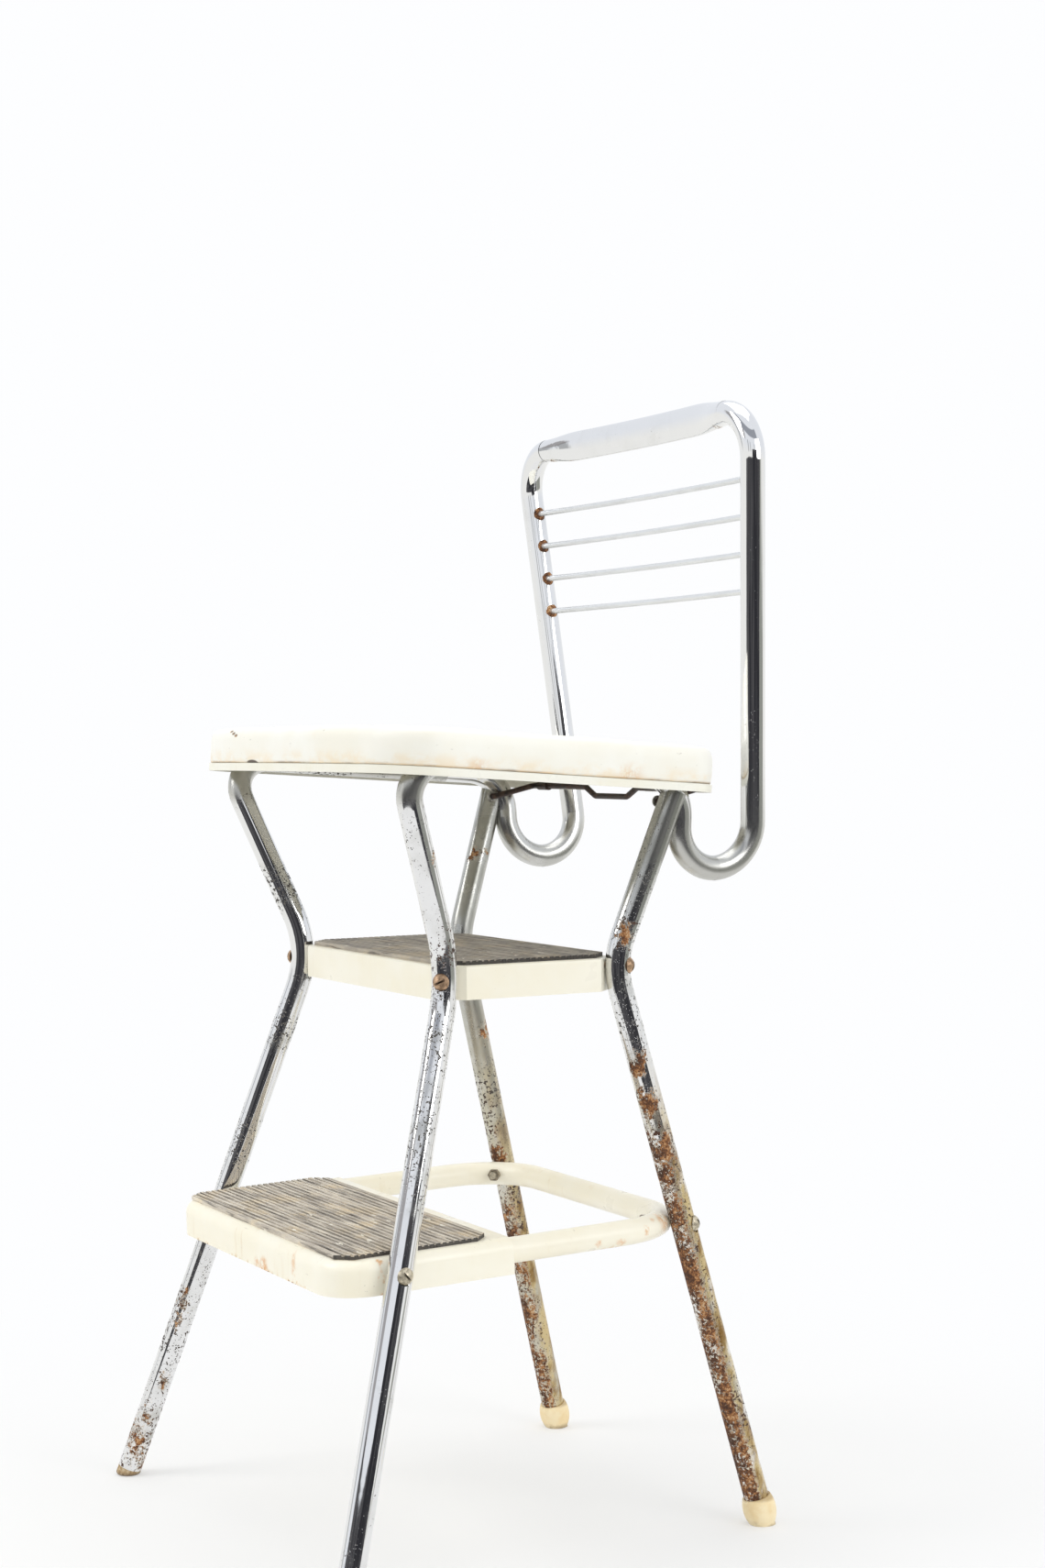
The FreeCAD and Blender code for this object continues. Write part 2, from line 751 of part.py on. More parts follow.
def seat_outline():
    """Outline of the seat, wider at the front, with a bowed front edge and round corners."""
    fl = V(-seat_half_width_front, seat_front_y, 0)
    fr = V(seat_half_width_front, seat_front_y, 0)
    rr = V(seat_half_width_rear, seat_rear_y, 0)
    rl = V(-seat_half_width_rear, seat_rear_y, 0)
    bow = V(0, seat_front_y - seat_front_bow, 0)
    edges = [
        Part.Arc(fl, bow, fr).toShape(),
        Part.LineSegment(fr, rr).toShape(),
        Part.LineSegment(rr, rl).toShape(),
        Part.LineSegment(rl, fl).toShape(),
    ]
    block = Part.Face(Part.Wire(edges)).extrude(V(0, 0, pan_height))
    uprights = []
    for edge in block.Edges:
        if edge.BoundBox.ZLength > 1:
            uprights.append(edge)
    block = block.makeFillet(seat_corner_radius, uprights)
    for face in block.Faces:
        if face.BoundBox.ZMax < 1e-4:
            return face.OuterWire


def seat_section(outline, inset, z):
    """The seat's outline drawn in by an inset, at a height over the rim."""
    wire = outline.makeOffset2D(-inset) if inset > 0 else outline.copy()
    wire.translate(V(0, 0, z))
    return wire


def seat_block(outline, inset, low, high):
    return Part.Face(seat_section(outline, inset, low)).extrude(V(0, 0, high - low))


def seat_pan():
    """Pressed tray, open below, with a ledge all round that carries the cover's edge."""
    outline = seat_outline()
    skirt = seat_block(outline, rim_ledge, 0, pan_height)
    ledge = seat_block(outline, 0, 0, rim_height)
    hollow = seat_block(outline, rim_ledge + sheet, -1, pan_height - sheet)
    pan = ledge.fuse(skirt).cut(hollow).removeSplitter()
    for x in (-clip_x, clip_x):
        for offset in (-clip_width / 4, clip_width / 4):
            pan = pan.cut(rivet_hole(x + offset))
    return seat_placed(one_solid(pan.cut(dip_notch())))


def dip_notch():
    """Gap in the lower edge of the back, where the wire's dip comes through as the seat flips up."""
    half = wire_dip_top + dip_notch_margin
    depth = rim_ledge + 3 * sheet
    return Part.makeBox(2 * half, depth, 2 * rim_height, V(-half, seat_rear_y - depth + sheet, -rim_height))


def cushion_levels(inset):
    """Sections of the cushion: drawn in at the rim, full at the sides, crowned on top."""
    side = rim_ledge - cover_bulge + inset
    top = seat_pad_height - inset
    foot = rim_height + soft_gap
    levels = [(side + cover_draw_in, foot), (side + cover_draw_in * 0.25, foot + 4.0), (side, foot + 10.0)]
    for step in range(cover_round_steps + 1):
        turn = math.pi / 2 * step / cover_round_steps
        drawn_in = cover_top_round * (1 - math.cos(turn))
        levels.append((side + drawn_in, top - cover_top_round * (1 - math.sin(turn))))
    for share in (0.35, 0.7, 1.0):
        crown = cover_crown * (1 - (1 - share) ** 2)
        levels.append((side + cover_top_round + cover_crown_reach * share, top + crown))
    return levels


def seat_cushion(inset):
    """Ruled loft through the cushion's sections."""
    outline = seat_outline()
    wires = [seat_section(outline, draw, z) for draw, z in cushion_levels(inset)]
    return Part.makeLoft(wires, True, True)


def tray_space(outline, gap):
    return seat_block(outline, rim_ledge - gap, -1, pan_height + gap)


def seat_cover():
    """Vinyl skin over the pad and down the tray's sides to the ledge."""
    outline = seat_outline()
    skin = seat_cushion(0.0).cut(seat_cushion(cover_thickness))
    skin = skin.cut(tray_space(outline, soft_gap))
    return seat_placed(one_solid(skin))


def seat_foam():
    outline = seat_outline()
    foam = seat_cushion(cover_thickness + soft_gap).cut(tray_space(outline, soft_gap / 3))
    reach = 2 * seat_half_width_front
    low = Part.makeBox(2 * reach, 2 * reach, pan_height, V(-reach, -reach, soft_gap / 3))
    foam = foam.cut(low)
    return seat_placed(one_solid(foam))


# Wire hinge and its clips
def wire_path():
    arm = wire_arm_x
    bar = V(0, wire_bar_y, wire_bar_z)
    pivot = V(0, wire_pivot_y, wire_pivot_z)
    down = V(0, 0, -wire_dip_depth)
    right = [
        pivot + V(leg_face_x + wire_leg_entry, 0, 0),
        pivot + V(arm, 0, 0),
        bar + V(arm, 0, 0),
        bar + V(wire_dip_top, 0, 0),
        bar + V(wire_dip_bottom, 0, 0) + down,
    ]
    left = [V(-p.x, p.y, p.z) for p in reversed(right)]
    bends = [wire_bend_radius, wire_bend_radius, wire_dip_bend, wire_dip_bend]
    return bent_path(right + left, bends + list(reversed(bends)))


def hinge_wire():
    return one_solid(round_bar(wire_path(), wire_radius))


def hinge_washer():
    outer = washer_diameter / 2
    start = V(leg_face_x - fit_gap, wire_pivot_y, wire_pivot_z)
    ring = cylinder(start, V(-1, 0, 0), outer, washer_thickness)
    bore_radius = wire_radius + washer_clearance
    bore = cylinder(start + V(1, 0, 0), V(-1, 0, 0), bore_radius, washer_thickness + 2)
    return one_solid(ring.cut(bore))


def bar_in_seat():
    """The wire's bar in the seat's own level frame: y and z over the rim."""
    tilt = FreeCAD.Rotation(V(1, 0, 0), seat_slope_deg)
    return tilt.multVec(V(0, wire_bar_y, wire_bar_z - seat_rim_z))


def rivet_hole(x):
    bar = bar_in_seat()
    start = V(x, bar.y, rivet_level())
    return cylinder(start, V(0, 1, 0), rivet_diameter / 2 + fit_gap / 2, seat_rear_y - bar.y)


def rivet_level():
    bar = bar_in_seat()
    return bar.z + wire_radius + clip_sheet + clip_flange_height * clip_rivet_share


def skirt_face():
    """Inner face of the tray's back skirt."""
    return seat_rear_y - rim_ledge - sheet


def hinge_clip(x):
    """Sheet clip: a flange on the back skirt with a curl round the wire."""
    bar = bar_in_seat()
    left = x - clip_width / 2
    curl = wire_radius + wire_clearance + clip_sheet
    face = skirt_face() - fit_gap / 2
    ring = cylinder(V(left, bar.y, bar.z), V(1, 0, 0), curl, clip_width)
    flange_low = bar.z - curl * clip_flange_overlap
    flange_high = bar.z + wire_radius + clip_sheet + clip_flange_height
    flange_corner = V(left, face - clip_sheet, flange_low)
    flange = Part.makeBox(clip_width, clip_sheet, flange_high - flange_low, flange_corner)
    bridge = Part.makeBox(clip_width, face - bar.y, clip_sheet, V(left, bar.y, bar.z + curl - clip_sheet))
    clip = ring.fuse([flange, bridge])
    bore_radius = wire_radius + wire_clearance
    clip = clip.cut(cylinder(V(left - 1, bar.y, bar.z), V(1, 0, 0), bore_radius, clip_width + 2))
    for offset in (-clip_width / 4, clip_width / 4):
        clip = clip.cut(rivet_hole(x + offset))
    return seat_placed(one_solid(clip.removeSplitter()))


def clip_rivet(x):
    """Rivet through the flange and the back skirt, with its head inside."""
    face = skirt_face() - fit_gap / 2 - clip_sheet
    point = V(x, face - fit_gap / 2, rivet_level())
    head = domed_head(point, V(0, -1, 0), rivet_head_diameter, rivet_head_height)
    shank = cylinder(point, V(0, 1, 0), rivet_diameter / 2, clip_sheet + sheet + fit_gap)
    return seat_placed(one_solid(head.fuse(shank)))


def build():
    os.makedirs("parts", exist_ok=True)
    right_front = front_leg()
    right_rear = rear_leg()
    export("front_leg_right", right_front)
    export("front_leg_left", mirrored(right_front))
    export("rear_leg_right", right_rear)
    export("rear_leg_left", mirrored(right_rear))
    export("backrest_hoop", backrest_hoop())
    for number, height in enumerate(rod_heights(), start=1):
        export("backrest_rod_" + str(number), backrest_rod(height))
    export("rail_joint_screws", *both_sides(rail_screw()))
    export("front_foot_tip_right", foot_tip())
    export("front_foot_tip_left", mirrored(foot_tip()))
    export("rear_foot_cap_right", foot_cap())
    export("rear_foot_cap_left", mirrored(foot_cap()))

    export("upper_step_pan", upper_step_pan())
    export("upper_step_mat", upper_step_mat())
    front = slotted_screw(upper_front_point, front_outward, upper_grip, upper_front_slot_turn)
    rear = slotted_screw(upper_rear_point, rear_outward, upper_grip, upper_rear_slot_turn)
    export("upper_step_screws", *four_corners(front, rear))
    front = hex_nut(upper_front_point, front_outward, upper_grip, fit_gap)
    rear = hex_nut(upper_rear_point, rear_outward, upper_grip, fit_gap)
    export("upper_step_nuts", *four_corners(front, rear))

    export("lower_step_frame", lower_step_frame())
    export("lower_step_plate", lower_step_plate())
    export("lower_step_mat", lower_step_mat())
    front = slotted_screw(lower_front_point, side_outward, lower_front_grip, lower_front_slot_turn)
    rear = slotted_screw(lower_rear_point, rear_outward, lower_rear_grip, lower_rear_slot_turn)
    export("lower_step_screws", *four_corners(front, rear))
    front = hex_nut(lower_front_point, side_outward, lower_front_grip, 2 * fit_gap)
    rear = hex_nut(lower_rear_point, rear_outward, lower_rear_grip, 2 * fit_gap)
    export("lower_step_nuts", *four_corners(front, rear))

    export("seat_pan", seat_pan())
    export("seat_foam", seat_foam())
    export("seat_cover", seat_cover())
    export("hinge_wire", hinge_wire())
    export("hinge_washers", *both_sides(hinge_washer()))
    export("hinge_clips", hinge_clip(-clip_x), hinge_clip(clip_x))
    rivets = []
    for x in (-clip_x, clip_x):
        for offset in (-clip_width / 4, clip_width / 4):
            rivets.append(clip_rivet(x + offset))
    export("hinge_clip_rivets", *rivets)


build()
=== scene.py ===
# Step stool chair dressed for rendering: chromed tubes with pits and rust, cream enamel,
# worn ribbed mats and a vinyl seat pad. Metres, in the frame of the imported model.
import math
import bpy
import bmesh
from mathutils import Matrix, Vector, noise


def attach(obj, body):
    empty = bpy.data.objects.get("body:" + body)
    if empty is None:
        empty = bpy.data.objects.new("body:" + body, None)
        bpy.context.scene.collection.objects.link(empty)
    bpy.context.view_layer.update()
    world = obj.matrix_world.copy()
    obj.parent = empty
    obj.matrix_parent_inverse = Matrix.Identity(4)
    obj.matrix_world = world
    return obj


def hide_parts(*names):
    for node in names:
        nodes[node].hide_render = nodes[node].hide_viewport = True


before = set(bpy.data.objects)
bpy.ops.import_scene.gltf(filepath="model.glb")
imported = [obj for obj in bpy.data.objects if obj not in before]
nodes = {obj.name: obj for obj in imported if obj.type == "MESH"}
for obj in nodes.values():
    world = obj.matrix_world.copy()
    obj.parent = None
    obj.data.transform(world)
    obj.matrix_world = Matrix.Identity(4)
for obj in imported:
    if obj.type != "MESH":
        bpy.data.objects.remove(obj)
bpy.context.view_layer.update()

# Camera of the photograph
CAMERA_PLACE = Vector((1.77167, -0.89958, 0.59888))
CAMERA_YAW = math.radians(61.39)
CAMERA_PITCH = math.radians(-0.95)
CAMERA_ROLL = math.radians(-0.5)
FOCAL_PIXELS = 2770.9
PHOTO_HEIGHT = 1710


def make_camera():
    right = Vector((math.cos(CAMERA_YAW), math.sin(CAMERA_YAW), 0))
    level = Vector((-math.sin(CAMERA_YAW), math.cos(CAMERA_YAW), 0))
    up = Vector((0, 0, 1))
    ahead = level * math.cos(CAMERA_PITCH) + up * math.sin(CAMERA_PITCH)
    top = up * math.cos(CAMERA_PITCH) - level * math.sin(CAMERA_PITCH)
    side = right * math.cos(CAMERA_ROLL) + top * math.sin(CAMERA_ROLL)
    top = top * math.cos(CAMERA_ROLL) - right * math.sin(CAMERA_ROLL)
    data = bpy.data.cameras.new("photo_camera")
    data.sensor_fit = "AUTO"
    data.sensor_width = 36.0
    data.lens = FOCAL_PIXELS * data.sensor_width / PHOTO_HEIGHT
    data.clip_end = 60
    camera = bpy.data.objects.new("photo_camera", data)
    turn = Matrix((side, top, -ahead)).transposed().to_4x4()
    camera.matrix_world = Matrix.Translation(CAMERA_PLACE) @ turn
    bpy.context.scene.collection.objects.link(camera)
    bpy.context.scene.camera = camera


class Shader:
    """Short names for building a node tree."""

    def __init__(self, tree):
        self.tree = tree
        self.tree.nodes.clear()

    def add(self, kind, **settings):
        node = self.tree.nodes.new(kind)
        for key, value in settings.items():
            setattr(node, key, value)
        return node

    def put(self, socket, value):
        if isinstance(value, bpy.types.NodeSocket):
            self.tree.links.new(value, socket)
        elif isinstance(value, (tuple, list)) and len(value) == 3 and socket.type == "RGBA":
            socket.default_value = (*value, 1)
        else:
            socket.default_value = value

    def math(self, operation, *values, clamp=False):
        node = self.add("ShaderNodeMath", operation=operation, use_clamp=clamp)
        for socket, value in zip(node.inputs, values):
            self.put(socket, value)
        return node.outputs[0]

    def product(self, *values):
        result = values[0]
        for value in values[1:]:
            result = self.math("MULTIPLY", result, value)
        return result

    def most(self, *values):
        result = values[0]
        for value in values[1:]:
            result = self.math("MAXIMUM", result, value)
        return result

    def ramp(self, value, low, high, start=0.0, end=1.0):
        """Smooth change from start to end while value goes from low to high."""
        node = self.add("ShaderNodeMapRange", interpolation_type="SMOOTHSTEP")
        for name, number in (("From Min", low), ("From Max", high), ("To Min", start), ("To Max", end)):
            node.inputs[name].default_value = number
        self.put(node.inputs["Value"], value)
        return node.outputs["Result"]

    def band(self, value, low, high, soft):
        """One between low and high, falling to zero over soft on each side."""
        rise = self.ramp(value, low - soft, low)
        fall = self.ramp(value, high, high + soft, 1.0, 0.0)
        return self.product(rise, fall)

    def place(self):
        return self.add("ShaderNodeTexCoord").outputs["Object"]

    def facing(self):
        """X, Y and Z of the direction that the surface faces."""
        return self.parts(self.add("ShaderNodeNewGeometry").outputs["True Normal"])

    def parts(self, vector):
        node = self.add("ShaderNodeSeparateXYZ")
        self.put(node.inputs[0], vector)
        return node.outputs[0], node.outputs[1], node.outputs[2]

    def stretch(self, vector, scale, shift=(0, 0, 0)):
        node = self.add("ShaderNodeMapping")
        self.put(node.inputs["Vector"], vector)
        node.inputs["Scale"].default_value = scale
        node.inputs["Location"].default_value = shift
        return node.outputs[0]

    def noise(self, vector, scale, detail=3.0, rough=0.55, bend=0.0):
        node = self.add("ShaderNodeTexNoise")
        self.put(node.inputs["Vector"], vector)
        node.inputs["Scale"].default_value = scale
        node.inputs["Detail"].default_value = detail
        node.inputs["Roughness"].default_value = rough
        node.inputs["Distortion"].default_value = bend
        return node.outputs[0]

    def cells(self, vector, scale):
        """Distance to the nearest of many scattered points."""
        node = self.add("ShaderNodeTexVoronoi")
        self.put(node.inputs["Vector"], vector)
        node.inputs["Scale"].default_value = scale
        return node.outputs["Distance"]

    def colours(self, value, *stops):
        node = self.add("ShaderNodeValToRGB")
        while len(node.color_ramp.elements) < len(stops):
            node.color_ramp.elements.new(0.5)
        for element, (position, colour) in zip(node.color_ramp.elements, stops):
            element.position = position
            element.color = (*colour, 1)
        self.put(node.inputs[0], value)
        return node.outputs[0]

    def mix(self, share, first, second):
        """Mix of two colours."""
        node = self.add("ShaderNodeMix", data_type="RGBA")
        self.put(node.inputs["Factor"], share)
        self.put(node.inputs[6], first)
        self.put(node.inputs[7], second)
        return node.outputs[2]

    def blend(self, share, first, second):
        """Mix of two plain numbers."""
        node = self.add("ShaderNodeMix", data_type="FLOAT")
        self.put(node.inputs["Factor"], share)
        self.put(node.inputs[2], first)
        self.put(node.inputs[3], second)
        return node.outputs[0]

    def near(self, vector, point, reach, soft):
        """One within reach of a point, zero past reach plus soft."""
        node = self.add("ShaderNodeVectorMath", operation="DISTANCE")
        self.put(node.inputs[0], vector)
        node.inputs[1].default_value = point
        return self.ramp(node.outputs["Value"], reach, reach + soft, 1.0, 0.0)

    def ragged(self, vector, scale, amount):
        """The vector pushed about by noise, so that outlines drawn with it come out ragged."""
        swell = self.add("ShaderNodeTexNoise")
        self.put(swell.inputs["Vector"], vector)
        swell.inputs["Scale"].default_value = scale
        swell.inputs["Detail"].default_value = 5.0
        swell.inputs["Roughness"].default_value = 0.65
        push = self.add("ShaderNodeVectorMath", operation="MULTIPLY_ADD")
        self.put(push.inputs[0], swell.outputs["Color"])
        push.inputs[1].default_value = (amount, amount, amount)
        self.put(push.inputs[2], vector)
        return self.stretch(push.outputs[0], (1, 1, 1), (-amount / 2, -amount / 2, -amount / 2))

    def bump(self, height, strength, distance, under=None):
        node = self.add("ShaderNodeBump")
        node.inputs["Strength"].default_value = strength
        node.inputs["Distance"].default_value = distance
        self.put(node.inputs["Height"], height)
        if under is not None:
            self.put(node.inputs["Normal"], under)
        return node.outputs[0]

    def colour_of(self, kind, colour):
        """A plain shader of one kind and colour."""
        node = self.add(kind)
        self.put(node.inputs["Color"], colour)
        return node

    def choose(self, share, first, second):
        """Mix of two shaders."""
        node = self.add("ShaderNodeMixShader")
        for socket, value in zip(node.inputs, (share, first.outputs[0], second.outputs[0])):
            self.put(socket, value)
        return node

    def show(self, shader, kind="ShaderNodeOutputMaterial"):
        self.put(self.add(kind).inputs[0], shader.outputs[0])

    def finish(self, **inputs):
        """The surface shader: names of its inputs with spaces written as underscores."""
        shader = self.add("ShaderNodeBsdfPrincipled")
        for name, value in inputs.items():
            self.put(shader.inputs[name.replace("_", " ")], value)
        self.show(shader)


def new_material(name):
    material = bpy.data.materials.new(name)
    material.use_nodes = True
    return material, Shader(material.node_tree)


def wear(material, *names):
    """Give a material to CAD nodes or to pieces made here."""
    for name in names:
        piece = nodes[name] if name in nodes else bpy.data.objects[name]
        piece.data.materials.clear()
        piece.data.materials.append(material)


# Tubes: their radius, the level direction towards the back right, and each rear leg's axis as x and y
# at the floor with its run in x and y for a metre of height
TUBE_RADIUS = 0.0095
BACK_RIGHT = (0.479, 0.878)
RIGHT_LEAN = (0.1606, 0.1835, -0.0752, -0.2544)
LEFT_LEAN = (-0.1606, 0.1835, 0.0752, -0.2544)

# Backrest rods: their heights from the top one down, the place where the top one enters the hoop, and
# how far the next ones lie inwards and back for a metre lower down
ROD_HEIGHTS = (0.7968, 0.76857, 0.74034, 0.71211)
ROD_ENTRY = (0.162, 0.1745)
ROD_ENTRY_RUN = (0.12, 0.072)

# Seat: slope of its rim, height of the pad's own Z = 0, and the pad's outline: (y, half width) at the
# front and the back, bow of the front, radius of the corners, centre, and steps along each stretch
SLOPE = math.radians(3.8)
RIM_LIFT = 0.5689
SEAT_FRONT = (-0.1361, 0.189)
SEAT_BACK = (0.1559, 0.165)
SEAT_BOW = 0.008
SEAT_CORNER = 0.042
SEAT_CENTRE_Y = 0.008
BOW_STEPS = 26
CORNER_STEPS = 14
SIDE_STEPS = 30
BACK_STEPS = 24

# Rings of the pad: (inset, height) from its underside down the lining, round the tucked edge and up over
# the rim. Those nearer the middle, below and above, are (share of the innermost outline, height).
LINING_HEIGHT = 0.016
EDGE_RINGS = (
    (0.0200, 0.0223), (0.0060, 0.0223), (0.0023, 0.0223), (0.0023, LINING_HEIGHT), (0.0023, 0.0070),
    (0.0021, 0.0064), (0.0013, 0.0064), (0.0011, 0.0072), (0.0007, 0.0100), (0.0004, 0.0140),
    (0.0003, 0.0185), (0.0003, 0.0225), (0.0005, 0.0262), (0.0013, 0.0293), (0.0029, 0.0318),
    (0.0053, 0.0332), (0.0085, 0.0339), (0.0130, 0.0345), (0.0190, 0.0350), (0.0270, 0.0355))
UNDER_RINGS = ((0.12, 0.0223), (0.50, 0.0223))
CROWN_RINGS = ((0.80, 0.0360), (0.66, 0.0364), (0.50, 0.0367), (0.32, 0.0369), (0.12, 0.0370))

# Colours
CHROME = (0.80, 0.80, 0.795)
PIT = (0.10, 0.09, 0.08)
RUST_DARK = (0.075, 0.032, 0.016)
RUST = (0.20, 0.080, 0.030)
RUST_ORANGE = (0.42, 0.19, 0.065)
RUST_PALE = (0.62, 0.42, 0.24)
CREAM = (0.975, 0.935, 0.80)
IVORY = (0.965, 0.955, 0.885)
STAIN = (0.66, 0.47, 0.22)
GRIME = (0.20, 0.155, 0.10)
MAT_TONES = ((0.33, 0.29, 0.245), (0.46, 0.41, 0.345), (0.60, 0.55, 0.47), (0.78, 0.73, 0.64))
BACKDROP = (0.985, 0.99, 1.0)

# Marks on the seat pad: rust brought up from the tray below, a gash and three small tears
PAD_RUST = (((0.187, -0.068, 0.5765), 0.015), ((0.176, 0.063, 0.568), 0.018))
PAD_GASH = (-0.0110, -0.1414, 0.5846)
PAD_TEARS = ((-0.1080, -0.1362, 0.6088), (-0.1008, -0.1379, 0.6074), (-0.0940, -0.1388, 0.6058))

# Floor and the cards that only reflections see: radius, lowest and highest edge, and the stretch in
# degrees to the right of the view where they are taller
FLOOR_RADIUS = 0.95
FLAG_RADIUS = 1.9
FLAG_LOW = -0.8
FLAG_TOP = 0.70
FLAG_TALL_TOP = 1.06
FLAG_TALL = (2, 38)


def chrome(name, rust_top, rust_full, rust_share, pit_share, spots, seed=0.0, lean=None, dull_zone=None,
           rings=()):
    """Plated tube with pits. Rust grows from rust_top down to its full share at rust_full.

    It also grows at spots, with a torn outline, and at rings, with a smooth one: each has a point, a
    reach, a soft margin and a strength. With a lean, the axis of a leg, granular rust keeps to the
    leg's front left and a thin ochre film to its back right. dull_zone is the height where the plating
    is bright and the height where it has gone dull.
    """
    material, s = new_material(name)
    place = s.place()
    shifted = s.stretch(place, (1, 1, 1), (seed, seed * 0.7, seed * 0.3))
    x, y, z = s.parts(place)
    growth = s.product(s.ramp(z, rust_full, rust_top, 1.0, 0.0), rust_share)
    patches = s.noise(s.stretch(shifted, (1, 1, 0.55)), 52, 4, 0.6, 0.5)
    crust = s.noise(shifted, 420, 5, 0.7, 0.2)
    ochre_share = 0.0
    darkening = 0.0
    hazy = (0.53, 0.525, 0.49)
    if lean is not None:
        foot_x, foot_y, run_x, run_y = lean
        across = s.math("SUBTRACT", x, s.math("ADD", s.product(z, run_x), foot_x))
        behind = s.math("SUBTRACT", y, s.math("ADD", s.product(z, run_y), foot_y))
        turn_x = s.product(across, BACK_RIGHT[0] / TUBE_RADIUS)
        turn_y = s.product(behind, BACK_RIGHT[1] / TUBE_RADIUS)
        turn = s.math("ADD", s.math("ADD", turn_x, turn_y), s.product(s.math("SUBTRACT", patches, 0.5), 1.6))
        ochre_share = s.product(s.ramp(turn, -0.55, 0.15), s.ramp(z, rust_full, rust_top + 0.02, 1.0, 0.0))
        growth = s.product(growth, s.ramp(turn, 0.05, 0.85, 1.0, 0.42))
        darkening = s.ramp(turn, -1.2, 0.4, 0.045, -0.02)
        hazy = s.mix(s.ramp(z, 0.28, 0.42), (0.56, 0.53, 0.43), (0.43, 0.43, 0.395))
    torn_place = s.stretch(s.ragged(place, 120, 0.026), (1, 1, 0.62))
    for (spot_x, spot_y, spot_z), reach, soft, strength in spots:
        spot = s.near(torn_place, (spot_x, spot_y, spot_z * 0.62), reach, soft)
        growth = s.most(growth, s.product(spot, strength))
    for point, reach, soft, strength in rings:
        growth = s.most(growth, s.product(s.near(place, point, reach, soft), strength))
    field = s.math("ADD", s.product(patches, 0.46), s.product(crust, 0.54))
    edge = s.math("SUBTRACT", 0.78, s.product(growth, 0.31))
    over = s.math("SUBTRACT", field, edge)
    rust = s.product(s.ramp(over, -0.006, 0.018), s.ramp(growth, 0.01, 0.05))
    # Pits: fine dark specks, thick where the plating is tired
    tired = s.math("ADD", s.ramp(s.noise(shifted, 16, 3), 0.40, 0.70), s.product(growth, 0.8))
    share = s.product(tired, pit_share)
    grain = s.noise(shifted, 330, 2)
    fine = s.math("SUBTRACT", s.product(share, s.ramp(grain, 0.38, 0.64), 0.46), s.cells(shifted, 640))
    coarse = s.math("SUBTRACT", s.product(share, s.ramp(grain, 0.52, 0.70), 0.36), s.cells(shifted, 250))
    pits = s.most(s.ramp(fine, -0.03, 0.03), s.ramp(coarse, -0.02, 0.02))
    cloud = s.noise(shifted, 46, 4)
    haze = s.product(s.ramp(cloud, 0.42, 0.72), share, 0.6)
    if dull_zone is not None:
        bright_z, dull_z = dull_zone
        fade = s.ramp(z, bright_z, dull_z) if dull_z > bright_z else s.ramp(z, dull_z, bright_z, 1.0, 0.0)
        haze = s.most(haze, s.product(fade, s.ramp(cloud, 0.30, 0.60, 0.72, 1.0)))
    coarse_tint = s.product(s.noise(shifted, 150, 3, 0.6), 0.5)
    tint = s.math("ADD", coarse_tint, s.product(s.noise(shifted, 640, 3, 0.7), 0.5))
    rust_colour = s.colours(s.math("SUBTRACT", tint, darkening), (0.43, RUST_DARK), (0.50, RUST),
                            (0.555, RUST_ORANGE), (0.62, RUST_PALE))
    metal = s.mix(haze, CHROME, hazy)
    stain = s.product(ochre_share, s.ramp(s.noise(s.stretch(shifted, (1, 1, 0.4)), 60, 4, 0.65), 0.31, 0.52))
    film_tone = s.ramp(s.noise(s.stretch(shifted, (1, 1, 0.45)), 75, 4, 0.6), 0.38, 0.62)
    metal = s.mix(stain, metal, s.mix(film_tone, (0.25, 0.135, 0.03), (0.62, 0.49, 0.25)))
    colour = s.mix(pits, metal, s.mix(s.ramp(growth, 0.1, 0.7), PIT, RUST_DARK))
    halo = s.product(s.ramp(over, -0.075, -0.01), s.ramp(growth, 0.35, 0.80), 0.60)
    colour = s.mix(halo, colour, s.mix(tint, (0.60, 0.50, 0.36), (0.80, 0.74, 0.64)))
    colour = s.mix(rust, colour, rust_colour)
    dull = s.most(rust, s.product(pits, 0.85), s.product(halo, 0.9), s.product(stain, 0.5))
    metallic = s.math("SUBTRACT", 1.0, s.product(dull, 0.97), clamp=True)
    rough = s.blend(s.most(s.product(haze, 0.9), s.product(stain, 0.8)), 0.05, 0.34)
    rough = s.blend(s.most(rust, pits), rough, 0.82)
    waves = s.noise(s.stretch(place, (1, 1, 0.35)), 70, 2)
    height = s.math("ADD", s.product(rust, s.math("ADD", crust, 0.4)), s.product(pits, -0.5))
    normal = s.bump(height, 0.55, 0.0006, s.bump(waves, 0.05, 0.002))
    s.finish(Base_Color=colour, Metallic=metallic, Roughness=rough, Normal=normal)
    return material


def rod_metal():
    """Dull polished rods, rusty at the ends that enter the hoop."""
    material, s = new_material("rod_metal")
    place = s.place()
    side = s.math("ABSOLUTE", s.parts(place)[0])
    film = s.noise(s.stretch(place, (0.2, 1, 1)), 150, 4, 0.6)
    specks = s.ramp(s.cells(place, 420), 0.10, 0.16, 1.0, 0.0)
    colour = s.mix(s.ramp(film, 0.35, 0.7), (0.76, 0.77, 0.77), (0.69, 0.70, 0.70))
    colour = s.mix(s.product(specks, 0.5), colour, (0.35, 0.33, 0.30))
    end = s.ramp(s.math("ADD", side, s.product(film, 0.010)), 0.1585, 0.1660)
    colour = s.mix(end, colour, s.mix(film, RUST_DARK, RUST))
    rough = s.blend(end, s.ramp(film, 0.3, 0.7, 0.28, 0.45), 0.85)
    metallic = s.math("SUBTRACT", 0.85, s.product(end, 0.8))
    s.finish(Base_Color=colour, Metallic=metallic, Roughness=rough, Normal=s.bump(film, 0.15, 0.0006))
    return material


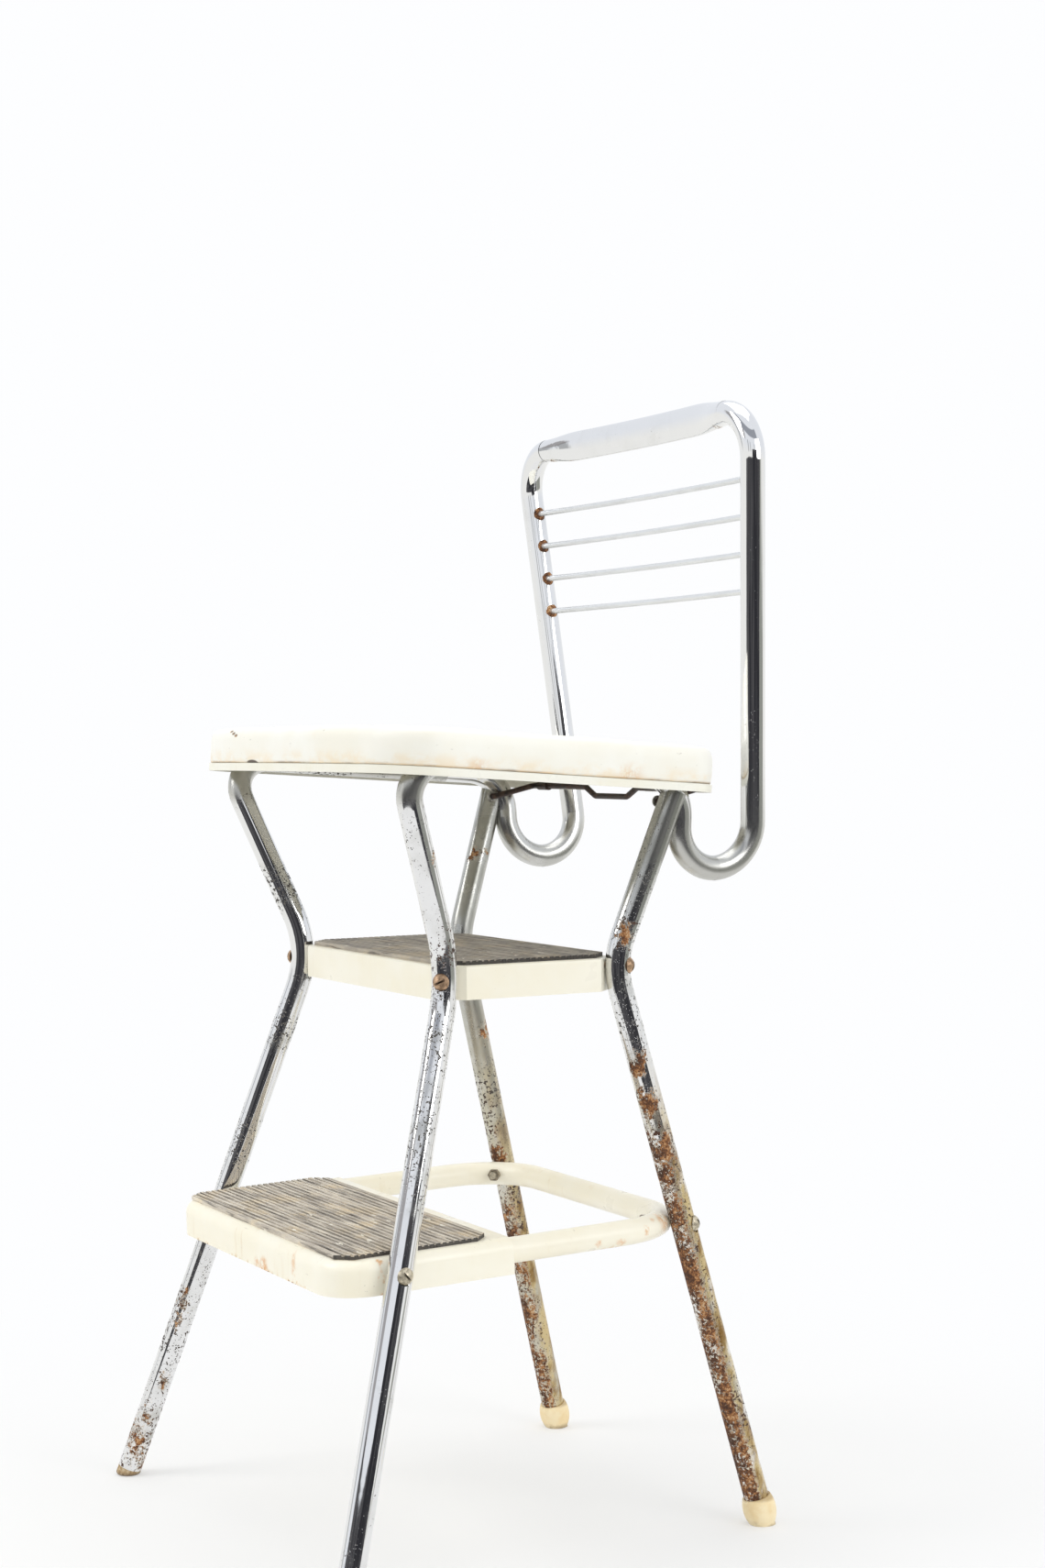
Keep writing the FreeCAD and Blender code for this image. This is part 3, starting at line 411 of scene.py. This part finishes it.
def enamel(name, base, marks, low=None, high=None, seed=0.0, painted_shade_below=0.0, smears=()):
    """Cream enamel: soft mottling, scuffs, small chips and brown stains that run from them.

    Wear grows from high down to low. Each smear has a point, a reach, a strength and a squeeze in Z,
    and faces that look down are darkened by a share of painted shade.
    """
    material, s = new_material(name)
    place = s.stretch(s.place(), (1, 1, 1), (seed, seed, seed))
    true_place = s.place()
    cloud = s.noise(place, 14, 4, 0.55)
    colour = s.mix(s.ramp(cloud, 0.35, 0.70), base, tuple(c * f for c, f in zip(base, (0.975, 0.955, 0.90))))
    streak = s.noise(s.stretch(place, (1, 1, 0.12)), 120, 4, 0.6)
    grime = s.product(s.ramp(streak, 0.56, 0.74), s.ramp(cloud, 0.40, 0.66), 0.30 * marks)
    colour = s.mix(grime, colour, STAIN)
    coarse_wear = s.product(s.noise(place, 26, 5, 0.65), 0.65)
    wear_field = s.math("ADD", coarse_wear, s.product(s.noise(place, 240, 4, 0.7), 0.35))
    growth = marks * 0.5
    if low is not None:
        lowness = s.ramp(s.parts(true_place)[2], low, high, 1.0, 0.0)
        growth = s.math("ADD", growth, s.product(lowness, marks * 0.9))
    edge = s.math("SUBTRACT", 0.80, s.product(growth, 0.20))
    over = s.math("SUBTRACT", wear_field, edge)
    halo = s.product(s.ramp(over, -0.085, 0.0), 0.55)
    colour = s.mix(halo, colour, (0.80, 0.55, 0.27))
    chip = s.ramp(over, -0.004, 0.008)
    colour = s.mix(chip, colour, s.mix(s.ramp(s.noise(place, 500, 2), 0.4, 0.6), RUST_DARK, RUST_ORANGE))
    scratch = s.noise(s.stretch(place, (0.15, 1, 1.6)), 300, 2, 0.5)
    scratch = s.product(s.ramp(scratch, 0.70, 0.76), s.ramp(cloud, 0.45, 0.6), 0.35 * marks)
    colour = s.mix(scratch, colour, GRIME)
    for (smear_x, smear_y, smear_z), reach, strength, squeeze in smears:
        spread = s.stretch(s.ragged(true_place, 150, 0.010), (1, 1, squeeze))
        smear = s.near(spread, (smear_x, smear_y, smear_z * squeeze), reach * 0.3, reach)
        smear = s.product(smear, s.ramp(s.noise(place, 210, 4, 0.7), 0.36, 0.56), strength)
        colour = s.mix(smear, colour, (0.76, 0.40, 0.15))
    rough = s.blend(chip, s.ramp(cloud, 0.3, 0.7, 0.26, 0.40), 0.85)
    # Painted shade: faces that look down are darkened towards khaki grey, as if in shade under the seat
    if painted_shade_below:
        under = s.ramp(s.facing()[2], -0.97, -0.90, 1.0, 0.0)
        colour = s.mix(s.product(under, painted_shade_below), colour, (0.40, 0.37, 0.29))
    ripple = s.noise(place, 60, 2)
    normal = s.bump(s.math("SUBTRACT", ripple, chip), 0.12, 0.0008)
    s.finish(Base_Color=colour, Roughness=rough, Normal=normal, Specular_IOR_Level=0.45)
    return material


def step_mat(name, light, seed):
    """Ribbed rubber worn pale: fine dark lines along the ribs, tan and grey patches, cream flecks."""
    material, s = new_material(name)
    place = s.stretch(s.place(), (1, 1, 1), (seed, seed, seed))
    ribs = s.add("ShaderNodeTexWave", wave_type="BANDS", bands_direction="Y", wave_profile="SIN")
    s.put(ribs.inputs["Vector"], s.place())
    # A rib every 2.5 mm
    ribs.inputs["Scale"].default_value = 126.0
    ribs.inputs["Distortion"].default_value = 0.4
    ribs.inputs["Detail"].default_value = 1.0
    groove = s.ramp(ribs.outputs["Fac"], 0.0, 0.42, 1.0, 0.0)
    along = s.stretch(place, (0.045, 1, 1))
    streak = s.noise(along, 430, 4, 0.7)
    worn = s.noise(s.stretch(place, (0.22, 1, 1)), 120, 5, 0.7)
    patch = s.noise(place, 17, 4, 0.6)
    field = s.math("ADD", s.product(worn, 0.45), s.product(patch, 0.25))
    field = s.math("ADD", field, s.product(streak, 0.30))
    dark, mid, pale, high = [tuple(light * c for c in tone) for tone in MAT_TONES]
    colour = s.colours(field, (0.36, dark), (0.46, mid), (0.55, pale), (0.66, high))
    tan = s.product(s.ramp(s.noise(place, 30, 4, 0.6), 0.50, 0.64), 0.5)
    colour = s.mix(tan, colour, tuple(light * c for c in (0.68, 0.56, 0.38)))
    lines = s.product(groove, s.ramp(s.noise(s.stretch(place, (0.06, 1, 1)), 230, 3, 0.6), 0.40, 0.64), 0.66)
    colour = s.mix(lines, colour, (0.060, 0.054, 0.050))
    thin = s.product(s.ramp(streak, 0.38, 0.43, 1.0, 0.0), 0.60)
    colour = s.mix(thin, colour, (0.070, 0.062, 0.056))
    fleck = s.cells(s.stretch(s.ragged(place, 300, 0.004), (0.45, 1, 1)), 105)
    fleck = s.ramp(s.math("ADD", fleck, s.product(patch, 0.9)), 0.52, 0.56, 1.0, 0.0)
    colour = s.mix(s.product(fleck, 0.9), colour, (0.90, 0.86, 0.76))
    end_face = s.ramp(s.math("ABSOLUTE", s.facing()[0]), 0.2, 0.4, 0.0, 0.9)
    colour = s.mix(end_face, colour, (0.030, 0.027, 0.025))
    rough = s.ramp(field, 0.35, 0.65, 0.50, 0.80)
    height = s.math("SUBTRACT", s.product(worn, 0.6), s.most(lines, thin))
    s.finish(Base_Color=colour, Roughness=rough, Normal=s.bump(height, 0.6, 0.0007), Specular_IOR_Level=0.4)
    return material


def vinyl():
    """Old ivory vinyl: faint grain, soft creases, tan stains that gather at the lower edge."""
    material, s = new_material("seat_vinyl")
    place = s.place()
    y, z = s.parts(place)[1:]
    level = s.math("ADD", z, s.product(y, math.tan(SLOPE)))
    cloud = s.noise(place, 9, 4, 0.55)
    colour = s.mix(s.ramp(cloud, 0.35, 0.7), IVORY, (0.925, 0.89, 0.775))
    smudge = s.noise(s.stretch(place, (0.6, 0.6, 1)), 60, 5, 0.65)
    lowness = s.ramp(level, 0.5765, 0.589, 1.0, 0.0)
    stain = s.product(s.ramp(smudge, 0.42, 0.66), lowness, 0.48)
    colour = s.mix(stain, colour, (0.90, 0.70, 0.42))
    seam = s.ramp(s.math("ADD", level, s.product(smudge, 0.0020)), 0.5762, 0.5784, 1.0, 0.0)
    seam = s.product(seam, s.ramp(s.noise(place, 17, 4, 0.6), 0.38, 0.58, 0.35, 1.0))
    seam_tone = s.mix(s.ramp(smudge, 0.4, 0.6), (0.30, 0.19, 0.10), (0.62, 0.38, 0.16))
    colour = s.mix(s.product(seam, 0.80), colour, seam_tone)
    blot = s.noise(place, 38, 5, 0.65)
    mark = s.product(s.ramp(blot, 0.60, 0.72), s.ramp(cloud, 0.42, 0.62), 0.14)
    colour = s.mix(mark, colour, (0.86, 0.74, 0.52))
    ragged = s.noise(place, 130, 4, 0.7)
    rusty = s.most(*[s.near(place, point, 0.001, soft) for point, soft in PAD_RUST])
    rusty = s.product(s.ramp(ragged, 0.38, 0.58), rusty)
    colour = s.mix(s.product(rusty, 0.7), colour, (0.74, 0.42, 0.16))
    # The gash and the tears are long in X: they are drawn on squeezed coordinates
    gash = s.near(s.stretch(place, (0.20, 1, 1)), PAD_GASH, 0.0019, 0.0008)
    colour = s.mix(gash, colour, (0.085, 0.055, 0.035))
    wide_place = s.stretch(place, (0.36, 1, 1))
    torn_share = 0.0
    for torn_x, torn_y, torn_z in PAD_TEARS:
        torn = s.near(wide_place, (torn_x * 0.36, torn_y, torn_z), 0.0007, 0.0010)
        torn_share = s.most(torn_share, s.product(torn, s.ramp(ragged, 0.36, 0.46)))
    torn_tone = s.mix(s.ramp(ragged, 0.45, 0.6), (0.09, 0.06, 0.04), (0.45, 0.24, 0.08))
    colour = s.mix(torn_share, colour, torn_tone)
    scuff = s.noise(s.stretch(place, (0.3, 0.3, 1)), 420, 2)
    colour = s.mix(s.product(s.ramp(scuff, 0.70, 0.78), 0.25), colour, GRIME)
    grain = s.cells(place, 900)
    crease = s.noise(s.stretch(place, (1, 1, 0.5)), 24, 3, 0.5)
    normal = s.bump(grain, 0.10, 0.0003, s.bump(crease, 0.16, 0.0025))
    rough = s.ramp(cloud, 0.3, 0.7, 0.36, 0.48)
    s.finish(Base_Color=colour, Roughness=rough, Normal=normal, Specular_IOR_Level=0.42)
    return material


def fastener(name, base, dirt):
    """Tarnished screw metal with dirt specks, and painted shade in its slot and at its edges."""
    material, s = new_material(name)
    place = s.place()
    mottle = s.noise(place, 260, 4, 0.65)
    colour = s.mix(s.ramp(mottle, 0.36, 0.66), base, tuple(c * 0.45 for c in base))
    specks = s.product(s.ramp(s.noise(place, 900, 2), 0.60, 0.70), dirt)
    # Painted shade: ambient occlusion darkens the slot and the sheltered edges nearly to black
    slot_occlusion = s.add("ShaderNodeAmbientOcclusion", samples=6, only_local=True)
    slot_occlusion.inputs["Distance"].default_value = 0.0022
    painted_slot_shade = s.ramp(slot_occlusion.outputs["AO"], 0.45, 0.85, 1.0, 0.0)
    # The dirt specks and the painted shade in the slot share one dark colour
    colour = s.mix(s.most(specks, painted_slot_shade), colour, (0.035, 0.022, 0.014))
    rough = s.ramp(mottle, 0.3, 0.7, 0.34, 0.62)
    s.finish(Base_Color=colour, Metallic=0.8, Roughness=rough, Normal=s.bump(mottle, 0.25, 0.0004))
    return material


def wire_metal():
    """Dark browned spring steel."""
    material, s = new_material("hinge_wire_metal")
    mottle = s.noise(s.place(), 190, 4, 0.6)
    colour = s.mix(s.ramp(mottle, 0.4, 0.7), (0.035, 0.024, 0.02), (0.10, 0.06, 0.042))
    rough = s.ramp(mottle, 0.3, 0.7, 0.38, 0.62)
    s.finish(Base_Color=colour, Metallic=0.35, Roughness=rough, Normal=s.bump(mottle, 0.2, 0.0004))
    return material


def cap_rubber():
    """Yellowed rubber of the rear caps: soft mottling, grime at the mouth and near the floor."""
    material, s = new_material("cap_rubber")
    place = s.place()
    z = s.parts(place)[2]
    cloud = s.noise(place, 70, 4, 0.6)
    colour = s.mix(s.ramp(cloud, 0.35, 0.68), (0.95, 0.81, 0.54), (0.88, 0.69, 0.39))
    low = s.product(s.ramp(z, 0.0, 0.006, 1.0, 0.0), s.ramp(cloud, 0.35, 0.6), 0.6)
    colour = s.mix(low, colour, GRIME)
    mouth = s.product(s.ramp(z, 0.0185, 0.0215), 0.7)
    colour = s.mix(mouth, colour, (0.42, 0.29, 0.13))
    s.finish(Base_Color=colour, Roughness=0.55, Normal=s.bump(cloud, 0.15, 0.001), Specular_IOR_Level=0.4)
    return material


def tip_rubber():
    """Mottled brown and tan rubber of the front tips, darker at the floor."""
    material, s = new_material("tip_rubber")
    place = s.place()
    z = s.parts(place)[2]
    cloud = s.noise(place, 240, 4, 0.65)
    brown, tan, pale = (0.13, 0.075, 0.035), (0.42, 0.29, 0.15), (0.66, 0.56, 0.38)
    colour = s.colours(cloud, (0.32, brown), (0.52, tan), (0.68, pale))
    colour = s.mix(s.ramp(z, 0.0, 0.004, 0.7, 0.0), colour, (0.10, 0.08, 0.06))
    s.finish(Base_Color=colour, Roughness=0.7, Normal=s.bump(cloud, 0.3, 0.0006))
    return material


# Seat pad: a soft skin over the filling, its edge tucked down onto the tray's ledge
def arc(centre, radius, start, end, steps):
    """Points of a round from one angle to another, both ends among them."""
    turns = [start + (end - start) * index / steps for index in range(steps + 1)]
    return [centre + Vector((math.cos(turn), math.sin(turn))) * radius for turn in turns]


def seat_edges(inset):
    """Rounded outline of the seat drawn in by an inset: a closed list of points on Z = 0."""
    front_y, front_x = SEAT_FRONT
    back_y, back_x = SEAT_BACK
    lean = math.atan2(front_x - back_x, back_y - front_y)
    # Centres of the back corner's round and of the front's wide bow
    side_n = Vector((math.cos(lean), math.sin(lean)))
    drop = Vector((back_x, back_y)).dot(side_n) - SEAT_CORNER
    back_c = Vector(((drop - (back_y - SEAT_CORNER) * side_n.y) / side_n.x, back_y - SEAT_CORNER))
    sweep = (front_x * front_x + SEAT_BOW * SEAT_BOW) / (2 * SEAT_BOW)
    bow_c = Vector((0, front_y - SEAT_BOW + sweep))
    # The front corner's centre lies at its radius from the side line and inside the bow's circle
    low, high = front_y, back_y
    for _ in range(40):
        middle = (low + high) / 2
        point = Vector(((drop - middle * side_n.y) / side_n.x, middle))
        if (point - bow_c).length > sweep - SEAT_CORNER:
            low = middle
        else:
            high = middle
    front_c = Vector(((drop - high * side_n.y) / side_n.x, high))
    reach = SEAT_CORNER - inset
    start = (front_c - bow_c).normalized()
    bow_turn = math.atan2(start.y, start.x)
    points = arc(bow_c, sweep - inset, -math.pi / 2, bow_turn, BOW_STEPS)[:-1]
    points += arc(front_c, reach, bow_turn, lean, CORNER_STEPS)
    first = front_c + side_n * reach
    last = back_c + side_n * reach
    points += [first.lerp(last, index / SIDE_STEPS) for index in range(1, SIDE_STEPS)]
    points += arc(back_c, reach, lean, math.pi / 2, CORNER_STEPS)
    last = points[-1]
    points += [last.lerp(Vector((0, last.y)), index / BACK_STEPS) for index in range(1, BACK_STEPS + 1)]
    mirror = [Vector((-p.x, p.y)) for p in reversed(points[1:-1])]
    return points + mirror


def add_object(name, bm):
    """Object made of a finished bmesh."""
    mesh = bpy.data.meshes.new(name)
    bm.to_mesh(mesh)
    bm.free()
    made = bpy.data.objects.new(name, mesh)
    bpy.context.scene.collection.objects.link(made)
    return made


def seat_pad():
    """Cover lofted through its rings, closed below and above, and tilted onto the tray."""
    inner = seat_edges(EDGE_RINGS[-1][0])
    centre = Vector((0, SEAT_CENTRE_Y))
    outlines = [([centre + (p - centre) * share for p in inner], height) for share, height in UNDER_RINGS]
    outlines += [(seat_edges(inset), height) for inset, height in EDGE_RINGS]
    outlines += [([centre + (p - centre) * share for p in inner], height) for share, height in CROWN_RINGS]
    bm = bmesh.new()
    rings = [[bm.verts.new((p.x, p.y, height)) for p in outline] for outline, height in outlines]
    count = len(inner)
    for lower, upper in zip(rings, rings[1:]):
        for index in range(count):
            after = (index + 1) % count
            bm.faces.new((lower[index], lower[after], upper[after], upper[index]))
    bm.faces.new(list(reversed(rings[0])))
    bm.faces.new(rings[-1])
    bmesh.ops.recalc_face_normals(bm, faces=bm.faces)
    cover = add_object("seat_pad", bm)
    mesh = cover.data
    soften(mesh)
    for polygon in mesh.polygons:
        polygon.use_smooth = True
    mesh.transform(Matrix.Translation((0, 0, RIM_LIFT)) @ Matrix.Rotation(-SLOPE, 4, "X"))
    smooth = cover.modifiers.new("smooth", "SUBSURF")
    smooth.levels = 1
    smooth.render_levels = 1
    return cover


def unit(value):
    """The value held between 0 and 1."""
    return min(1.0, max(0.0, value))


def soften(mesh):
    """Uneven filling and the drape of an old cover.

    Slow swells lift the top, and slight hollows draw in the sides but not the lining on the tray.
    """
    for vertex in mesh.vertices:
        co = vertex.co
        # Swells grow from the rim up to the crown, and hollows lie between the tuck and the crown
        top = unit((co.z - 0.0225) / 0.010)
        swell = noise.noise(Vector((co.x * 14, co.y * 14, 3.1)))
        small = noise.noise(Vector((co.x * 46, co.y * 46, 7.7)))
        co.z += top * (0.0007 * swell + 0.00025 * small)
        side = unit((co.z - 0.0080) / 0.006) * unit((0.0335 - co.z) / 0.006)
        outer = Vector((co.x, co.y - SEAT_CENTRE_Y, 0))
        on_lining = abs(co.z - LINING_HEIGHT) < 1e-5
        if side > 0 and outer.length > 0.14 and not on_lining:
            pull = 0.0004 * noise.noise(Vector((co.x * 30, co.y * 30, co.z * 60 + 1.3))) - 0.0002
            vertex.co += outer.normalized() * pull * side


# Floor, backdrop and light
def floor():
    """Pale round floor that fades to the white of the backdrop and keeps the shadow near the feet."""
    bm = bmesh.new()
    bmesh.ops.create_circle(bm, cap_ends=True, segments=96, radius=FLOOR_RADIUS)
    plane = add_object("floor", bm)
    material, s = new_material("floor_pale")
    path = s.add("ShaderNodeLightPath")
    away = s.add("ShaderNodeVectorMath", operation="LENGTH")
    s.put(away.inputs[0], s.place())
    fade = s.ramp(away.outputs["Value"], 0.25, 0.85, 0.42, 1.0)
    seen = s.product(fade, path.outputs["Is Camera Ray"])
    mirrored = s.product(path.outputs["Is Glossy Ray"], 0.85)
    paint = s.colour_of("ShaderNodeBsdfDiffuse", (0.86, 0.855, 0.84))
    white = s.colour_of("ShaderNodeEmission", BACKDROP)
    s.show(s.choose(s.most(seen, mirrored), paint, white))
    plane.data.materials.append(material)


def studio():
    """World: white to the eye, an even grey for lighting, and a white room with dark cards for reflections.

    The cards are placed by their turn to the right of the view and their lift, in degrees: from, to and
    soft margin. Then come their strength and colour.
    """
    slits = ((-41, -36, 2), (-22, -19, 2), (12, 14, 2), (-106, -98, 3))
    right = (58, 100, 4)
    beside = (-106, -58, 6)
    upper = (-84, 52, 8)
    cards = (
        (slits, (4, 17, 3), 0.70, (0.30, 0.31, 0.32)),
        ([right], (-40, -6, 5), 0.85, (0.22, 0.23, 0.20)),
        ([beside], (17, 28, 3), 0.75, (0.26, 0.24, 0.24)),
        ([upper], (31, 46, 3), 0.80, (0.22, 0.24, 0.29)))
    world = bpy.data.worlds.new("studio")
    world.use_nodes = True
    bpy.context.scene.world = world
    s = Shader(world.node_tree)
    x, y, z = s.parts(s.add("ShaderNodeTexCoord").outputs["Generated"])
    front = s.math("ADD", s.product(x, math.sin(CAMERA_YAW)), s.product(y, -math.cos(CAMERA_YAW)))
    side = s.math("ADD", s.product(x, math.cos(CAMERA_YAW)), s.product(y, math.sin(CAMERA_YAW)))
    turn = s.product(s.math("ARCTAN2", side, front), 180 / math.pi)
    lift = s.product(s.math("ARCSINE", z), 180 / math.pi)
    colour = s.mix(s.ramp(lift, -4, 16), (1.0, 1.0, 0.985), (0.91, 0.94, 1.0))
    for turns, lifts, strength, tone in cards:
        card = s.product(s.most(*[s.band(turn, *limits) for limits in turns]), s.band(lift, *lifts))
        colour = s.mix(s.product(card, strength), colour, tone)
    path = s.add("ShaderNodeLightPath")
    mirrored = s.colour_of("ShaderNodeBackground", colour)
    even = s.colour_of("ShaderNodeBackground", (0.97, 0.985, 1.0))
    even.inputs["Strength"].default_value = 0.70
    seen = s.colour_of("ShaderNodeBackground", BACKDROP)
    unseen = s.choose(path.outputs["Is Glossy Ray"], even, mirrored)
    s.show(s.choose(path.outputs["Is Camera Ray"], unseen, seen), "ShaderNodeOutputWorld")


def flags():
    """Dark cards beside the camera, seen only as reflections: low all round, taller to the right."""
    bm = bmesh.new()
    columns = []
    for degrees in range(-62, 61, 2):
        turn = CAMERA_YAW - math.pi / 2 + math.radians(degrees)
        top = FLAG_TALL_TOP if FLAG_TALL[0] <= degrees <= FLAG_TALL[1] else FLAG_TOP
        x, y = FLAG_RADIUS * math.cos(turn), FLAG_RADIUS * math.sin(turn)
        columns.append((bm.verts.new((x, y, FLAG_LOW)), bm.verts.new((x, y, top))))
    for first, second in zip(columns, columns[1:]):
        bm.faces.new((first[0], second[0], second[1], first[1]))
    cards = add_object("flags", bm)
    for kind in ("camera", "diffuse", "shadow", "transmission", "volume_scatter"):
        setattr(cards, "visible_" + kind, False)
    material, s = new_material("flag_dark")
    mottle = s.ramp(s.noise(s.place(), 3.0, 4, 0.65), 0.40, 0.66)
    s.show(s.colour_of("ShaderNodeEmission", s.mix(mottle, (0.030, 0.030, 0.036), (0.120, 0.118, 0.125))))
    cards.data.materials.append(material)


def lamp(name, place, target, size, power):
    """Square soft light: its side in metres and its power in watts."""
    data = bpy.data.lights.new(name, "AREA")
    data.shape = "SQUARE"
    data.size = size
    data.energy = power
    light = bpy.data.objects.new(name, data)
    light.location = place
    aim = Vector(target) - Vector(place)
    light.rotation_euler = aim.to_track_quat("-Z", "Y").to_euler()
    bpy.context.scene.collection.objects.link(light)


make_camera()

# Materials of the tubes. A spot is its point, reach, soft margin and strength.
entry_rings = []
for height in ROD_HEIGHTS:
    below = ROD_HEIGHTS[0] - height
    entry_x = ROD_ENTRY[0] - below * ROD_ENTRY_RUN[0]
    entry_y = ROD_ENTRY[1] + below * ROD_ENTRY_RUN[1]
    for side in (-1, 1):
        entry_rings.append(((side * entry_x, entry_y, height), 0.0042, 0.0030, 1.7))
pinch_spots = [((side * 0.128, 0.172, 0.839), 0.003, 0.008, 0.8) for side in (-1, 1)]
shin_spots = (
    ((-0.1748, -0.1547, 0.1503), 0.001, 0.009, 1.10),
    ((-0.1766, -0.1573, 0.1406), 0.001, 0.009, 1.10),
    ((-0.1782, -0.1600, 0.1293), 0.001, 0.008, 1.05),
    ((-0.1868, -0.1708, 0.0777), 0.001, 0.010, 1.15),
    ((-0.1938, -0.1828, 0.0499), 0.001, 0.011, 1.10),
    ((-0.1975, -0.1880, 0.0294), 0.001, 0.012, 1.05),
    ((-0.1720, -0.1500, 0.1650), 0.020, 0.050, 0.42))
knee_spots = (
    ((0.1330, -0.0800, 0.4620), 0.008, 0.050, 0.50),
    ((0.1540, -0.0899, 0.5159), 0.001, 0.006, 1.00))
shank_spots = (
    ((-0.1280, 0.0965, 0.3540), 0.001, 0.012, 1.20),
    ((-0.1372, 0.1126, 0.2451), 0.001, 0.018, 1.25),
    ((-0.1308, 0.0917, 0.5056), 0.001, 0.009, 1.15),
    ((-0.1290, 0.1021, 0.5053), 0.001, 0.008, 1.15))
waist_spots = (
    ((0.1395, 0.0765, 0.4548), 0.001, 0.013, 1.30),
    ((0.1414, 0.0871, 0.3566), 0.001, 0.013, 1.30),
    ((0.1429, 0.0940, 0.3252), 0.001, 0.015, 1.30),
    ((0.1462, 0.1037, 0.2903), 0.001, 0.018, 1.25))
wear(chrome("chrome_hoop", 0.50, 0.46, 0.34, 0.32, pinch_spots, dull_zone=(0.60, 0.50), rings=entry_rings),
     "backrest_hoop")
wear(chrome("chrome_front_left", 0.15, 0.02, 0.72, 1.6, shin_spots, 1.3, dull_zone=(0.546, 0.560)),
     "front_leg_left")
wear(chrome("chrome_front_right", 0.08, 0.0, 0.55, 1.2, knee_spots, 2.6, dull_zone=(0.550, 0.562)),
     "front_leg_right")
wear(chrome("chrome_rear_left", 0.40, 0.16, 0.92, 1.3, shank_spots, 4.1, LEFT_LEAN, (0.0, 0.001)),
     "rear_leg_left")
wear(chrome("chrome_rear_right", 0.36, 0.27, 1.05, 1.1, waist_spots, 5.7, RIGHT_LEAN, (0.43, 0.520)),
     "rear_leg_right")
wear(rod_metal(), *["backrest_rod_" + str(number) for number in range(1, 5)])

# Enamel, mats, screws and feet. A smear is its point, reach, strength and squeeze in Z.
plate_smears = (
    ((0.0278, -0.1706, 0.2098), 0.0085, 0.95, 1.0),
    ((0.0139, -0.1707, 0.2112), 0.0055, 0.70, 1.0),
    ((0.0836, -0.1711, 0.2233), 0.0040, 0.60, 0.4),
    ((0.1535, -0.1347, 0.2225), 0.0026, 0.90, 0.08))
loop_smears = (
    ((0.154, 0.043, 0.227), 0.0034, 0.55, 1.0),
    ((0.153, 0.064, 0.226), 0.0042, 0.60, 1.0),
    ((0.153, 0.086, 0.233), 0.0030, 0.70, 1.0),
    ((0.141, 0.106, 0.237), 0.0075, 0.85, 1.0),
    ((0.148, 0.095, 0.240), 0.0030, 0.60, 1.0),
    ((0.158, 0.020, 0.229), 0.0026, 0.50, 1.0))
wear(enamel("enamel_seat", (0.93, 0.915, 0.82), 0.5, seed=0.4, painted_shade_below=0.5), "seat_pan")
wear(enamel("enamel_upper", CREAM, 0.35, 0.408, 0.414, 1.7), "upper_step_pan")
wear(enamel("enamel_plate", CREAM, 1.0, 0.205, 0.216, 2.9, smears=plate_smears), "lower_step_plate")
wear(enamel("enamel_loop", (0.95, 0.905, 0.765), 0.9, 0.212, 0.226, 3.8, smears=loop_smears),
     "lower_step_frame")
wear(step_mat("mat_upper", 0.86, 0.6), "upper_step_mat")
wear(step_mat("mat_lower", 1.2, 2.2), "lower_step_mat")
wear(fastener("screw_copper", (0.58, 0.385, 0.24), 0.6), "upper_step_screws")
wear(fastener("screw_tan", (0.74, 0.66, 0.50), 0.4), "lower_step_screws")
wear(fastener("nut_steel", (0.42, 0.36, 0.27), 0.8), "upper_step_nuts", "lower_step_nuts")
wear(fastener("rivet_steel", (0.55, 0.53, 0.48), 0.4),
     "hinge_clip_rivets", "rail_joint_screws", "hinge_washers")
wear(wire_metal(), "hinge_wire", "hinge_clips")
wear(cap_rubber(), "rear_foot_cap_left", "rear_foot_cap_right")
wear(tip_rubber(), "front_foot_tip_left", "front_foot_tip_right")

pad = seat_pad()
wear(vinyl(), "seat_pad")
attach(pad, "seat")
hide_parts("seat_cover", "seat_foam")

floor()
flags()
studio()
lamp("soft_key", (-0.9, -2.6, 2.3), (0, 0, 0.45), 1.6, 35)
lamp("soft_fill", (2.9, 1.0, 1.5), (0, 0, 0.45), 1.6, 29)
lamp("soft_top", (-0.3, 0.3, 3.0), (0, 0, 0.4), 2.2, 25)

scene = bpy.context.scene
scene.view_settings.view_transform = "Standard"
